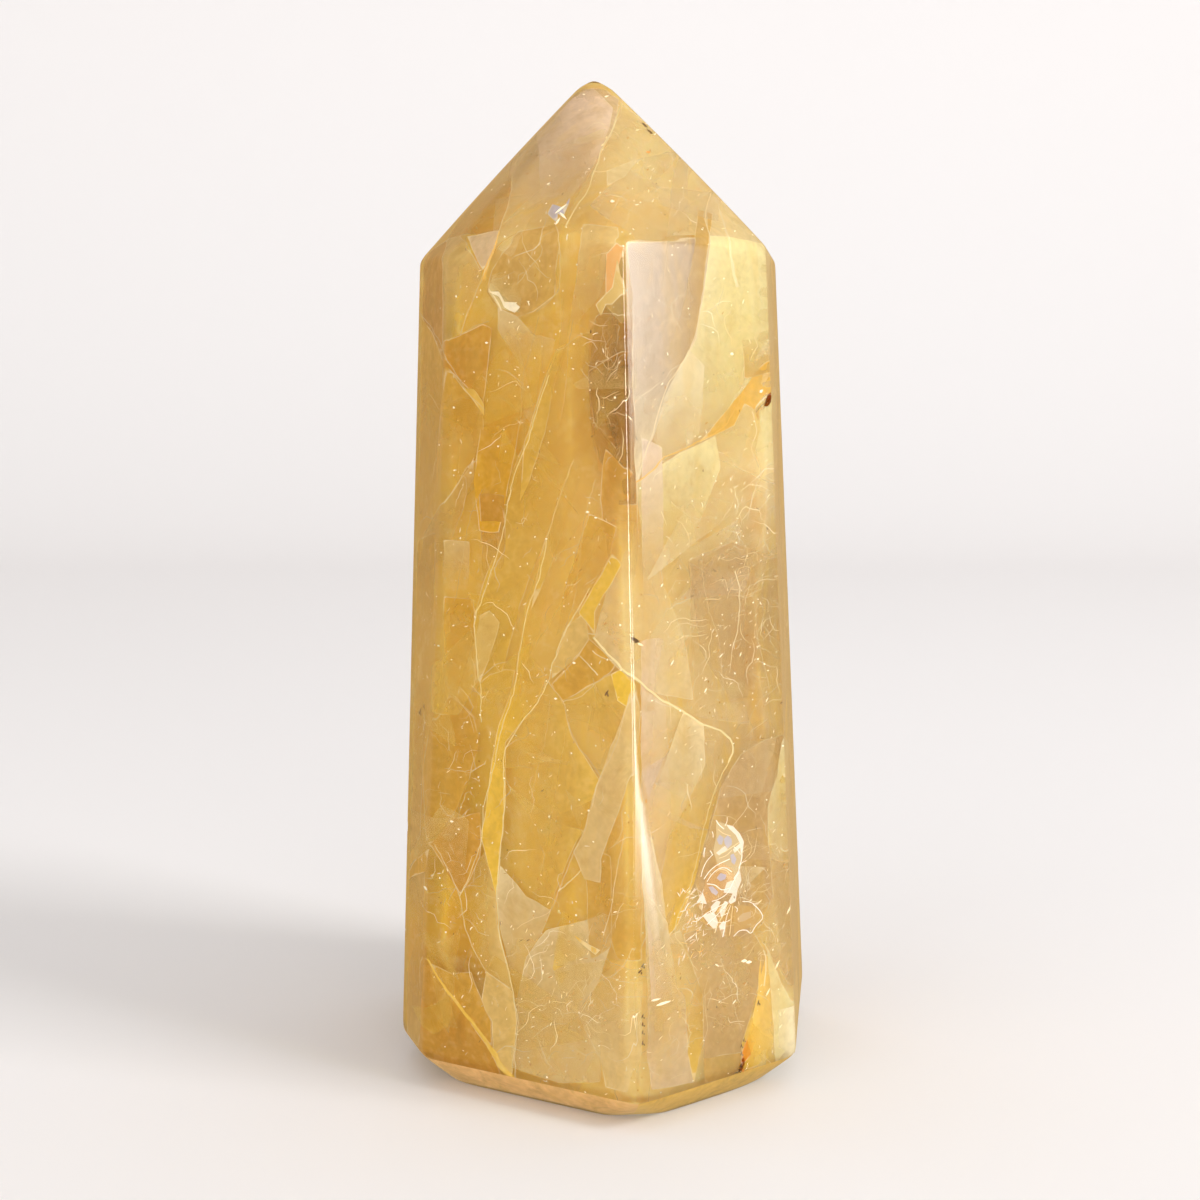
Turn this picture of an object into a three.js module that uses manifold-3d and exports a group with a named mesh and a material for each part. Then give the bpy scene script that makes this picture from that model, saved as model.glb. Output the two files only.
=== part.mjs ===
// Golden healer quartz tower: a single quartz point, cut and polished to six sides, that stands
// on its own flat base. Millimetres, +Z up. The origin is the middle of the base, and the edge
// between the two widest sides in view faces -Y.
import * as THREE from 'three';
import { ParametricGeometry } from 'three/addons/geometries/ParametricGeometry.js';
import { mergeVertices } from 'three/addons/utils/BufferGeometryUtils.js';
import Module from 'manifold-3d';

const wasm = await Module();
wasm.setup();

// Driving dimensions, in millimetres.
const HEIGHT = 100;             // from the base to the polished tip
const TIP = { x: -1.75, y: 1.25 };   // where the tip stands, off the middle of the base
const TIP_LOSS = 0.9;           // what the polish took off the very tip
const TIP_ROUND = 0.9;          // radius that the polish left there
const DOME_SPREAD = 1.5;        // how fast the rounding opens out below the tip, width to height
const BEVEL = 3.2;              // height and width of the bevel round the base
const CAP_BOW = 0.25;           // how far the upper facets bulge half-way up
const LONG_SOFT = 0.14;         // softness of the long edges
const RIDGE_SOFT = 0.3;         // softness of the ridges between the upper facets
const SHOULDER_SOFT = 0.14;     // softness of the shoulder line
const FOOT_SOFT = 0.3;          // softness of the bevel's edges
const SHOULDER_ROUND = 3.0;     // radius to which the corners of the shoulder are worn
const FOOT_ROUND = 8.5;         // radius to which the corners of the base are worn
const TIP_SOFT = 0.15;          // softness of the line where the tip's rounding starts

// How the surface is worked out: the band of heights, in millimetres, in which the shoulder
// lies, how often a crossing is halved in on, and the cosine below which a facet is turned too
// far from a direction to bound it.
const SHOULDER_BAND = [70, 95];
const HALVINGS = 30;
const TURNED_AWAY = 0.1;

// The sides, counted round the tower: six of them, and a narrow one ground off the edge at the
// front left. Each has one long facet that leans in a little towards the top, one upper facet
// from the shoulder to the tip, and its stretch of the bevel. facing is in degrees from the
// front, -Y, towards +X. foot and shoulder are its distances from the middle, at the base and
// at the shoulder, which is rise above the base.
const SIDES = [
  { facing: -97, foot: 20.85, shoulder: 18.75, rise: 82.7 },    // left
  { facing: -70, foot: 22.45, shoulder: 19.15, rise: 81.6 },    // the narrow one
  { facing: -30.5, foot: 21.5, shoulder: 19.65, rise: 82.7 },   // front left
  { facing: 39.5, foot: 22.0, shoulder: 18.45, rise: 82.6 },    // front right
  { facing: 82.25, foot: 20.1, shoulder: 16.1, rise: 82.6 },    // right
  { facing: 140, foot: 22.5, shoulder: 19.7, rise: 83.1 },      // back right
  { facing: 200, foot: 23.65, shoulder: 20.6, rise: 83.1 },     // back left
].map((side) => ({ ...side, angle: THREE.MathUtils.degToRad(side.facing) }));

// Where the mesh has its columns across a side, and its rows up the base, the bevel, the long
// facets and the upper facets, as fractions. They crowd at the edges, which are rounded.
const ACROSS = [0, 0.012, 0.03, 0.065, 0.16, 0.5, 0.84, 0.935, 0.97, 0.988];
const BASE_ROWS = [0, 0.5];
const BEVEL_ROWS = [0, 0.1, 0.25, 0.5, 0.75, 0.9];
const LONG_ROWS = [0, 0.004, 0.012, 0.04, 0.2, 0.5, 0.8, 0.95, 0.985, 0.994, 0.998];
const CAP_ROWS = [0, 0.01, 0.03, 0.07, 0.15, 0.3, 0.5, 0.7, 0.85, 0.94, 0.975, 0.99, 0.997, 1];

// Small breaks in the polish: the middle of each, the half-lengths of the grain that broke
// out, and how that grain was turned, in degrees.
const CHIPS = [
  { at: [15.3, -12.3, 68.2], size: [0.4, 0.8, 1.5], turn: [0, 38, 0] },   // on the right edge
  { at: [-21.0, -5.0, 24.4], size: [0.6, 0.6, 0.7], turn: [20, 15, 40] },   // on the left edge
  { at: [12.6, -17.9, 3.9], size: [0.4, 0.5, 0.8], turn: [0, 25, 40] },   // above the bevel
];

// The tower's own axis leans from the middle of the base to the tip. How far it has come
// towards a side at a height.
function axisTowards(side, z) {
  return (TIP.x * Math.sin(side.angle) - TIP.y * Math.cos(side.angle)) * (z / HEIGHT);
}

// The distance of a side's long facet, upper facet and bevel from the middle, at a height.
function longFacet(side, z) {
  return side.foot + (side.shoulder - side.foot) * (z / side.rise);
}

function capFacet(side, z) {
  const up = (z - side.rise) / (HEIGHT + TIP_LOSS - side.rise);
  const tip = axisTowards(side, HEIGHT);
  return tip + (side.shoulder - tip) * (1 - up) + 4 * CAP_BOW * up * (1 - up);
}

function bevelFacet(side, z) {
  return side.foot - BEVEL + z;
}

// The corner between a side and the next one, at a height: its direction and its distance,
// seen from the axis, and how much of it a rounding of radius 1 takes off.
function corner(facet, index, z) {
  const a = SIDES[index % SIDES.length];
  const b = SIDES[(index + 1) % SIDES.length];
  const turn = THREE.MathUtils.euclideanModulo(b.angle - a.angle, 2 * Math.PI);
  const fromA = facet(a, z) - axisTowards(a, z);
  const fromB = facet(b, z) - axisTowards(b, z);
  const x = (fromB * Math.cos(a.angle) - fromA * Math.cos(b.angle)) / Math.sin(turn);
  const front = (fromA * Math.sin(b.angle) - fromB * Math.sin(a.angle)) / Math.sin(turn);
  const sharpness = 1 / Math.cos(turn / 2) - 1;
  return { direction: Math.atan2(x, front), distance: Math.hypot(x, front), sharpness };
}

// The least of several distances, with the corner where two of them meet rounded off.
function softLeast(distances, softness) {
  const least = Math.min(...distances);
  const sum = distances.reduce((s, d) => s + Math.exp((least - d) / softness), 0);
  return least - softness * Math.log(sum);
}

// How far the facets of one kind reach from the axis at a height, in a direction, with their
// edges softened and the corners between them worn to a radius.
function reach(facet, z, direction, softness, radius) {
  const reaches = [];
  SIDES.forEach((side, index) => {
    const facing = Math.cos(direction - side.angle);
    if (facing > TURNED_AWAY) {
      reaches.push((facet(side, z) - axisTowards(side, z)) / facing);
    }
    const worn = corner(facet, index, z);
    const facingCorner = Math.cos(direction - worn.direction);
    if (radius > 0 && facingCorner > TURNED_AWAY) {
      reaches.push((worn.distance - radius * worn.sharpness) / facingCorner);
    }
  });
  return softLeast(reaches, softness);
}

function longReach(z, direction) {
  return reach(longFacet, z, direction, LONG_SOFT, 0);
}

function capReach(z, direction) {
  const down = Math.min(1, (HEIGHT + TIP_LOSS - z) / (HEIGHT - SIDES[0].rise));
  const flat = reach(capFacet, z, direction, RIDGE_SOFT * down, SHOULDER_ROUND * down);
  const drop = Math.max(0, HEIGHT - z);
  const dome = Math.sqrt(2 * TIP_ROUND * drop + (DOME_SPREAD * drop) ** 2);
  return softLeast([flat, dome], TIP_SOFT * down);
}

function bevelReach(z, direction) {
  const radius = FOOT_ROUND * Math.max(0, 1 - z / BEVEL);
  return reach(bevelFacet, z, direction, FOOT_SOFT, radius);
}

function towerReach(z, direction) {
  const long = longReach(z, direction);
  const upper = softLeast([long, capReach(z, direction)], SHOULDER_SOFT);
  return softLeast([upper, bevelReach(z, direction)], FOOT_SOFT);
}

// The height, between two others, at which the inner reach stops being the shorter one.
function crossing(inner, outer, direction, low, high) {
  let [a, b] = [low, high];
  for (let step = 0; step < HALVINGS; step += 1) {
    const z = (a + b) / 2;
    if (inner(z, direction) < outer(z, direction)) a = z;
    else b = z;
  }
  return a;
}

// The direction of a column at a height: its fraction of the way from one corner to the next.
function columnDirection(facet, column, z) {
  const index = Math.floor(column / ACROSS.length);
  const from = corner(facet, index + SIDES.length - 1, z).direction;
  const to = corner(facet, index, z).direction;
  const turn = THREE.MathUtils.euclideanModulo(to - from, 2 * Math.PI);
  return from + turn * ACROSS[column % ACROSS.length];
}

// The mesh's rows from the middle of the base to the tip, and its columns round the tower.
const ROWS = [
  ...BASE_ROWS.map((part) => ({ band: 'base', part })),
  ...BEVEL_ROWS.map((part) => ({ band: 'bevel', part })),
  ...LONG_ROWS.map((part) => ({ band: 'long', part })),
  ...CAP_ROWS.map((part) => ({ band: 'cap', part })),
];
const COLUMNS = SIDES.length * ACROSS.length;

// The point of the surface at a column and a row, as ParametricGeometry asks for it.
function surfacePoint(u, v, target) {
  const column = Math.round(u * COLUMNS) % COLUMNS;
  const { band, part } = ROWS[Math.round(v * (ROWS.length - 1))];
  const atShoulder = columnDirection(longFacet, column, SIDES[0].rise);
  const atFoot = columnDirection(longFacet, column, BEVEL);
  const shoulder = crossing(longReach, capReach, atShoulder, ...SHOULDER_BAND);
  const foot = crossing(bevelReach, longReach, atFoot, 0, 2 * BEVEL);
  let z = 0;
  if (band === 'bevel') z = foot * part;
  if (band === 'long') z = foot + (shoulder - foot) * part;
  if (band === 'cap') z = shoulder + (HEIGHT - shoulder) * part;
  const direction = columnDirection(band === 'cap' ? capFacet : longFacet, column, z);
  const out = towerReach(z, direction) * (band === 'base' ? part : 1);
  const lean = z / HEIGHT;
  target.set(TIP.x * lean + out * Math.sin(direction), TIP.y * lean - out * Math.cos(direction), z);
}

// A closed mesh with each shared point held once and no triangle folded flat.
function closed(geometry) {
  geometry.deleteAttribute('normal');
  geometry.deleteAttribute('uv');
  const merged = mergeVertices(geometry, 1e-4);
  const index = Array.from(merged.index.array);
  const kept = [];
  for (let i = 0; i < index.length; i += 3) {
    const [a, b, c] = index.slice(i, i + 3);
    if (a !== b && b !== c && c !== a) kept.push(a, b, c);
  }
  merged.setIndex(kept);
  return merged;
}

function toManifold(geometry) {
  const vertProperties = new Float32Array(geometry.attributes.position.array);
  const triVerts = new Uint32Array(geometry.index.array);
  return new wasm.Manifold(new wasm.Mesh({ numProp: 3, vertProperties, triVerts }));
}

function fromManifold(solid) {
  const mesh = solid.getMesh();
  const geometry = new THREE.BufferGeometry();
  geometry.setAttribute('position', new THREE.BufferAttribute(mesh.vertProperties, 3));
  geometry.setIndex(new THREE.BufferAttribute(mesh.triVerts, 1));
  geometry.computeVertexNormals();
  return geometry;
}

function chipGrain({ at, size, turn }) {
  const grain = new THREE.OctahedronGeometry(1, 1);
  const angles = turn.map(THREE.MathUtils.degToRad);
  const place = new THREE.Matrix4().compose(
    new THREE.Vector3(...at),
    new THREE.Quaternion().setFromEuler(new THREE.Euler(...angles)),
    new THREE.Vector3(...size),
  );
  return closed(grain.applyMatrix4(place));
}

function quartzTower() {
  const body = closed(new ParametricGeometry(surfacePoint, COLUMNS, ROWS.length - 1));
  let solid = toManifold(body);
  for (const chip of CHIPS) {
    solid = solid.subtract(toManifold(chipGrain(chip)));
  }
  const quartz = new THREE.MeshStandardMaterial({
    color: 0xcda45c,
    roughness: 0.06,
    metalness: 0,
    transparent: true,
    opacity: 0.85,
  });
  const mesh = new THREE.Mesh(fromManifold(solid), quartz);
  mesh.name = 'quartz_tower';
  return mesh;
}

const tower = new THREE.Group();
tower.add(quartzTower());

export default tower;
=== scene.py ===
"""Golden healer quartz tower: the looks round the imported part.

Lengths are millimetres in the part's own frame until a mesh is made; the floor, the lamps and the
panels are in metres. Directions round the stone are 0 at the front and grow towards the right."""

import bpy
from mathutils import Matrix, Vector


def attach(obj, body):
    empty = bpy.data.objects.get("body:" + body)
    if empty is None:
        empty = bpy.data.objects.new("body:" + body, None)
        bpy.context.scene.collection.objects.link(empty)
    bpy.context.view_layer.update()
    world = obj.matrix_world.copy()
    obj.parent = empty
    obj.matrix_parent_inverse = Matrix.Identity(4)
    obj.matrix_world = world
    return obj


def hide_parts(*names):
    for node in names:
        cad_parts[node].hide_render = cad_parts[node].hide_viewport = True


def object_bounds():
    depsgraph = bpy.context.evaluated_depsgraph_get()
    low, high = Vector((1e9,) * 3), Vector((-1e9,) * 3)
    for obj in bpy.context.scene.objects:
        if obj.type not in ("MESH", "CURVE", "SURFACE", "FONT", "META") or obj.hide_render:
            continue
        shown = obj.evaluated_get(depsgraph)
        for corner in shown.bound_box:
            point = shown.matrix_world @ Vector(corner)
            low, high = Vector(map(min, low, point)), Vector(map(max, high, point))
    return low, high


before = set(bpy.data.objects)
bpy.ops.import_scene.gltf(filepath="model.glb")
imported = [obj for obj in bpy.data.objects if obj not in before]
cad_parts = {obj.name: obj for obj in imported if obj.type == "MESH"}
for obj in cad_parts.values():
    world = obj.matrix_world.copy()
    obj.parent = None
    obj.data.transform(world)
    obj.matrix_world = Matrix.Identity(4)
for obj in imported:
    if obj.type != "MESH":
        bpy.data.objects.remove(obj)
cad_box = [list(corner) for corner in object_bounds()]

import itertools
import math
import random

import bmesh
import bpy
import numpy as np
from mathutils import Euler, Matrix, Vector, noise
from mathutils.geometry import delaunay_2d_cdt

MM = 0.001
TURN = 2 * math.pi

# ---------------------------------------------------------------- the tower's shape
# The driving sizes, as in the part's source; the height is read from the frame.
HEIGHT = round(cad_box[1][2] / MM, 3)
TIP = (-1.75, 1.25)
TIP_LOSS = 0.9
TIP_ROUND = 0.9
DOME_SPREAD = 1.5
BEVEL = 3.2
CAP_BOW = 0.25
SHOULDER_ROUND = 3.0
FOOT_ROUND = 8.5
LONG_SOFT, RIDGE_SOFT, SHOULDER_SOFT, FOOT_SOFT = 0.14, 0.3, 0.14, 0.3
TIP_SOFT, WORN_SOFT = 0.15, 0.02
SHOULDER_BAND = (70.0, 95.0)  # heights between which the shoulder is sought
HALVINGS = 30
TURNOVER = 0.06  # share of a facet's height over which the columns turn to the next facet's
TURNED_AWAY = 0.1  # a facet that faces a direction less than this doesn't bound it
FAR = 1e3
WORN_FACING = math.radians(35)
WORN_TOP = 37.0
WORN_DEPTH = 0.47
WORN_AT_FOOT, WORN_RISE = 0.4, 40.0  # share of its depth at the foot, height that adds the rest
SLOPED = 1.42  # how much further a facet at half a right angle moves sideways than inwards
TIP_INSET = 0.6  # how far the tip comes down for each unit of inset
NARROW_INSET, NARROWS_OVER = 0.3, 12.0  # share of the inset kept at the tip, and below the tip

# Facing, foot, shoulder and rise of each side, from the left round the front.
SIDES = [
    (math.radians(facing), foot, shoulder, rise)
    for facing, foot, shoulder, rise in (
        (-97, 20.85, 18.75, 82.7),
        (-70, 22.45, 19.15, 81.6),
        (-30.5, 21.5, 19.65, 82.7),
        (39.5, 22.0, 18.45, 82.6),
        (82.25, 20.1, 16.1, 82.6),
        (140, 22.5, 19.7, 83.1),
        (200, 23.65, 20.6, 83.1),
    )
]
FRONT_LEFT = 2
CAP_FOOT = SIDES[0][3]


def axis_at(z):
    """The leaning axis of the tower at a height, as x and y."""
    return TIP[0] * z / HEIGHT, TIP[1] * z / HEIGHT


def axis_towards(side, z):
    angle = side[0]
    return (TIP[0] * math.sin(angle) - TIP[1] * math.cos(angle)) * z / HEIGHT


def on_ring(z, way, out):
    """Points at a height, in a direction from the axis and at a distance from it."""
    x, y = axis_at(z)
    return np.stack([x + out * np.sin(way), y - out * np.cos(way), z], 1)


def long_facet(side, z, inset=0.0):
    return side[1] + (side[2] - side[1]) * z / side[3] - inset


def cap_facet(side, z, inset=0.0):
    up = (z - side[3]) / (HEIGHT + TIP_LOSS - side[3])
    tip = axis_towards(side, HEIGHT)
    bow = 4 * CAP_BOW * up * (1 - up)
    kept = np.minimum(1, NARROW_INSET + (HEIGHT - z) / NARROWS_OVER)
    return tip + (side[2] - tip) * (1 - up) + bow - SLOPED * inset * kept


def bevel_facet(side, z, inset=0.0):
    return side[1] - BEVEL + z - SLOPED * inset


def corner(facet, index, z, inset):
    """Where a facet meets the next one: the direction, the distance and how sharp it is."""
    a, b = SIDES[index % 7], SIDES[(index + 1) % 7]
    turn = (b[0] - a[0]) % TURN
    from_a = facet(a, z, inset) - axis_towards(a, z)
    from_b = facet(b, z, inset) - axis_towards(b, z)
    x = (from_b * math.cos(a[0]) - from_a * math.cos(b[0])) / math.sin(turn)
    front = (from_a * math.sin(b[0]) - from_b * math.sin(a[0])) / math.sin(turn)
    return np.arctan2(x, front), np.hypot(x, front), 1 / math.cos(turn / 2) - 1


def soft_least(distances, softness):
    """The least of the distances, with the edge between two near ones rounded."""
    stack = np.stack(np.broadcast_arrays(*distances))
    least = stack.min(0)
    return least - softness * np.log(np.exp((least - stack) / softness).sum(0))


def plane_reach(distance, facing, direction):
    """How far a plane lets a line in a direction run from the axis."""
    cosine = np.cos(direction - facing)
    away = cosine <= TURNED_AWAY
    return np.where(away, FAR, distance / np.where(away, 1, cosine))


def reach(facet, z, direction, softness, radius, inset):
    """The distance from the axis to one tier of facets, its corners rounded off by radius."""
    reaches = []
    for index, side in enumerate(SIDES):
        reaches.append(plane_reach(facet(side, z, inset) - axis_towards(side, z), side[0], direction))
        if np.any(radius > 0):
            towards, distance, sharpness = corner(facet, index, z, inset)
            worn = plane_reach(distance - radius * sharpness, towards, direction)
            reaches.append(np.where(radius <= 0, FAR, worn))
    return soft_least(reaches, softness)


def worn_reach(z, direction, inset):
    """The sliver of a facet that the polish has worn right of the front edge, near the foot."""
    towards, distance, _ = corner(long_facet, FRONT_LEFT, z, inset)
    depth = WORN_DEPTH * np.minimum(1 - z / WORN_TOP, WORN_AT_FOOT + z / WORN_RISE)
    return plane_reach(distance * np.cos(towards - WORN_FACING) - depth, WORN_FACING, direction)


def long_reach(z, direction, inset=0.0):
    sides = reach(long_facet, z, direction, LONG_SOFT, 0.0 * z, inset)
    return soft_least([sides, worn_reach(z, direction, inset)], WORN_SOFT)


def cap_reach(z, direction, inset=0.0):
    down = np.clip((HEIGHT + TIP_LOSS - z) / (HEIGHT - CAP_FOOT), 0.02, 1)
    flat = reach(cap_facet, z, direction, RIDGE_SOFT * down, SHOULDER_ROUND * down, inset)
    drop = np.maximum(0, HEIGHT - TIP_INSET * inset - z)
    dome = np.sqrt(2 * TIP_ROUND * drop + (DOME_SPREAD * drop) ** 2)
    return soft_least([flat, dome], TIP_SOFT * down)


def bevel_reach(z, direction, inset=0.0):
    radius = FOOT_ROUND * np.maximum(0, 1 - z / BEVEL)
    return reach(bevel_facet, z, direction, FOOT_SOFT, radius, inset)


def tower_reach(z, direction, inset=0.0):
    """The distance from the leaning axis to the tower's surface."""
    sides, cap = long_reach(z, direction, inset), cap_reach(z, direction, inset)
    upper = soft_least([sides, cap], SHOULDER_SOFT)
    return soft_least([upper, bevel_reach(z, direction, inset)], FOOT_SOFT)


def crossing(inner, outer, direction, low, high, inset):
    """The height at which one tier of facets gives way to the next, by halving."""
    a, b = np.full_like(direction, low), np.full_like(direction, high)
    for _ in range(HALVINGS):
        z = (a + b) / 2
        inside = inner(z, direction, inset) < outer(z, direction, inset)
        a, b = np.where(inside, z, a), np.where(inside, b, z)
    return a


def eased(share):
    share = np.clip(share, 0, 1)
    return share * share * (3 - 2 * share)


def between_corners(facet, index, z, share, inset=0.0):
    """Directions from one corner of a facet to the other."""
    start, end = (corner(facet, i, z, inset)[0] for i in (index + 6, index))
    return start + ((end - start) % TURN) * share


def smooth_mesh(name, points, faces):
    mesh = bpy.data.meshes.new(name)
    mesh.from_pydata([tuple(p) for p in points], [], faces)
    mesh.polygons.foreach_set("use_smooth", [True] * len(mesh.polygons))
    return mesh


BASE_RINGS = (0.35, 0.7)


def tower_mesh(name, inset, across, rows):
    """A closed mesh of the tower's surface, moved inwards by inset. Across are the places of the
    columns on each facet, and rows those of the rings on the bevel, the long facets and the cap."""
    count = 7 * len(across)
    column = np.arange(count)
    share = np.array(across)[column % len(across)]
    index = column // len(across)

    def directions(facet, z):
        each = [between_corners(facet, i, z, share, inset) for i in range(7)]
        return np.choose(index, each)

    def direction(cap_share, z):
        """The columns follow the long edges below the shoulder and the ridges above it."""
        low, high = directions(long_facet, z), directions(cap_facet, z)
        return low + cap_share * ((high - low + math.pi) % TURN - math.pi)

    full = np.ones(count)
    halfway = direction(0.5, CAP_FOOT * full)
    shoulder = crossing(long_reach, cap_reach, halfway, *SHOULDER_BAND, inset)
    upright = direction(0, BEVEL * full)
    foot = crossing(bevel_reach, long_reach, upright, 0, 2 * BEVEL + inset, inset)
    top = HEIGHT - TIP_INSET * inset
    bevel_rows, long_rows, cap_rows = (np.array(row) for row in rows)
    levels = [(0, inset + (foot - inset) * f) for f in bevel_rows]
    levels += [(0.5 * eased((f - 1) / TURNOVER + 1), foot + (shoulder - foot) * f) for f in long_rows]
    levels += [(0.5 + 0.5 * eased(f / TURNOVER), shoulder + (top - shoulder) * f) for f in cap_rows]
    rings = []
    for cap_share, z in levels:
        way = direction(cap_share, z)
        rings.append(on_ring(z, way, np.maximum(tower_reach(z, way, inset), 0.01)))
    base = rings[0].mean(0)
    rings = [base + (rings[0] - base) * s for s in BASE_RINGS] + rings
    apex = np.array([*rings[-1].mean(0)[:2], top])
    points = np.concatenate([base[None], *rings, apex[None]])
    faces = []
    for start in range(1, 1 + (len(rings) - 1) * count, count):
        for c in range(count):
            a, b = start + c, start + (c + 1) % count
            faces.append((a, b, b + count, a + count))
    last = 1 + (len(rings) - 1) * count
    for c in range(count):
        d = (c + 1) % count
        faces += [(0, 1 + d, 1 + c), (last + c, last + d, len(points) - 1)]
    mesh = smooth_mesh(name, points * MM, faces)
    mesh.validate()
    mesh.update()
    return mesh


def link(name, data):
    piece = bpy.data.objects.new(name, data)
    bpy.context.scene.collection.objects.link(piece)
    return piece


def add(mesh, material, shades=True):
    """Make a piece of the stone from a mesh."""
    piece = link(mesh.name, mesh)
    mesh.materials.append(material)
    piece.visible_shadow = shades
    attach(piece, "root")
    return piece


# ---------------------------------------------------------------- node helpers
class Tree:
    """A material and short ways to build its nodes."""

    def __init__(self, name):
        self.material = bpy.data.materials.new(name)
        self.material.use_nodes = True
        self.nodes = self.material.node_tree.nodes
        self.links = self.material.node_tree.links
        self.nodes.clear()
        self.out = self.nodes.new("ShaderNodeOutputMaterial")
        self.place = self.nodes.new("ShaderNodeTexCoord").outputs["Object"]

    def put(self, socket, value):
        if isinstance(value, bpy.types.NodeSocket):
            self.links.new(value, socket)
        else:
            socket.default_value = value

    def node(self, kind, inputs=None, **settings):
        """A node with its settings, and its inputs by name or number."""
        made = self.nodes.new("ShaderNode" + kind)
        for key, value in settings.items():
            setattr(made, key, value)
        for key, value in (inputs or {}).items():
            self.put(made.inputs[key], value)
        return made

    def surface(self, shader):
        self.put(self.out.inputs["Surface"], shader.outputs[0])
        return self.material

    def attribute(self, name, output="Fac"):
        return self.node("Attribute", attribute_name=name).outputs[output]

    def math(self, operation, a, b):
        return self.node("Math", {0: a, 1: b}, operation=operation).outputs[0]

    def stretched(self, turn, scale):
        """The place, turned and drawn out, for streaks."""
        return self.node("Mapping", {0: self.place, "Rotation": turn, "Scale": scale}).outputs[0]

    def noise(self, scale, detail=3.0, rough=0.55, where=None, distort=0.0):
        inputs = {"Vector": where or self.place, "Scale": scale, "Detail": detail}
        inputs |= {"Roughness": rough, "Distortion": distort}
        return self.node("TexNoise", inputs).outputs["Fac"]

    def ramp(self, value, low, high, to=(0.0, 1.0)):
        inputs = {0: value, 1: low, 2: high, 3: to[0], 4: to[1]}
        return self.node("MapRange", inputs, interpolation_type="SMOOTHSTEP").outputs[0]

    def mix(self, share, a, b):
        return self.node("Mix", {0: share, 6: a, 7: b}, data_type="RGBA").outputs[2]

    def blotched(self, colour, patterns):
        """Lay other shades over a colour where patterns are high, or low: pattern, where it
        starts and is full, how much it covers there, and the shade."""
        for pattern, low, high, cover, shade in patterns:
            colour = self.mix(self.ramp(pattern, low, high, (0, cover)), colour, shade)
        return colour


def rgb(*screen):
    """A colour given as it looks on a screen, 0 to 255, as linear light."""
    shares = [value / 255 for value in screen]
    light = [s / 12.92 if s <= 0.04045 else ((s + 0.055) / 1.055) ** 2.4 for s in shares]
    return (*light, 1.0)


# ---------------------------------------------------------------- materials
BROWN = rgb(160, 112, 46)
UMBER = rgb(190, 138, 64)
AMBER = rgb(202, 150, 62)
HONEY = rgb(212, 166, 72)
DEEP = rgb(216, 166, 52)
GOLD = rgb(222, 184, 84)
WHEAT = rgb(220, 190, 122)
YELLOW = rgb(228, 192, 96)
STRAW = rgb(229, 201, 133)
BRIGHT = rgb(236, 198, 76)
LEMON = rgb(240, 229, 180)
CREAM = rgb(230, 212, 172)
BEIGE = rgb(221, 195, 142)
TAN = rgb(206, 168, 98)
ROSE = rgb(213, 189, 158)
TAUPE = rgb(200, 169, 126)
SMOKE = rgb(193, 170, 144)
BLUSH = rgb(238, 216, 200)
PEACH = rgb(236, 182, 116)
APRICOT = rgb(250, 205, 142)
ORANGE = rgb(234, 186, 84)
RUST = rgb(236, 146, 36)
SUN = rgb(255, 216, 116)
MILK = rgb(248, 236, 204)
SPARK = rgb(255, 248, 228)
# GLARE is painted reflection, the white flash of light off the foil crack.
GLARE = rgb(250, 242, 236)
HAZE = rgb(184, 186, 214)
SOOT = rgb(84, 58, 32)


def clear_quartz():
    """The clear golden stone; lamps shine in through its surface."""
    t = Tree("golden_quartz_clear")
    glass = t.node("BsdfPrincipled", {
        "Base Color": (1, 1, 1, 1), "Transmission Weight": 1.0, "IOR": 1.544, "Roughness": 0.03,
    })
    lamps = t.node("BsdfTransparent", {0: (0.8, 0.825, 0.785, 1)})
    path = t.node("LightPath")
    shaders = {0: path.outputs["Is Shadow Ray"], 1: glass.outputs[0], 2: lamps.outputs[0]}
    tint = t.node("VolumeAbsorption", {"Color": (0.985, 0.955, 0.76, 1), "Density": 90.0})
    t.put(t.out.inputs["Volume"], tint.outputs[0])
    return t.surface(t.node("MixShader", shaders))


def specked(t, colour, scale, radius, speck, share):
    """Scatter small specks of another colour: pinpoint bubbles, flakes and pits."""
    cells = t.node("TexVoronoi", {"Vector": t.place, "Scale": scale})
    near = t.ramp(cells.outputs["Distance"], radius, radius * 0.55)
    some = t.ramp(t.noise(scale * 0.45, 2), 1 - share, 1 - share + 0.06)
    return t.mix(t.math("MULTIPLY", near, some), colour, speck)


def cloud():
    """The cloudy inside, which light spreads through."""
    t = Tree("quartz_cloud")
    streaks = t.noise(190, 4, 0.68, t.stretched((0.1, 0.35, 0), (1, 1, 0.22)), 0.6)
    clouds = t.noise(130, 5, 0.7, None, 0.5)
    grain = t.noise(900, 2, 0.6)
    colour = t.blotched(t.attribute("tint", "Color"), (
        (streaks, 0.5, 0.66, 0.35, BRIGHT), (clouds, 0.52, 0.68, 0.25, LEMON),
        (clouds, 0.48, 0.34, 0.25, AMBER), (grain, 0.5, 0.75, 0.14, MILK),
    ))
    colour = specked(t, colour, 900, 0.13, UMBER, 0.42)
    colour = specked(t, colour, 1100, 0.12, SPARK, 0.5)
    return t.surface(t.node("BsdfPrincipled", {
        "Base Color": colour, "Roughness": 0.6, "Specular IOR Level": 0.0,
        "Subsurface Weight": 1.0, "Subsurface Radius": (1.0, 0.8, 0.45), "Subsurface Scale": 0.0035,
    }))


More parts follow.
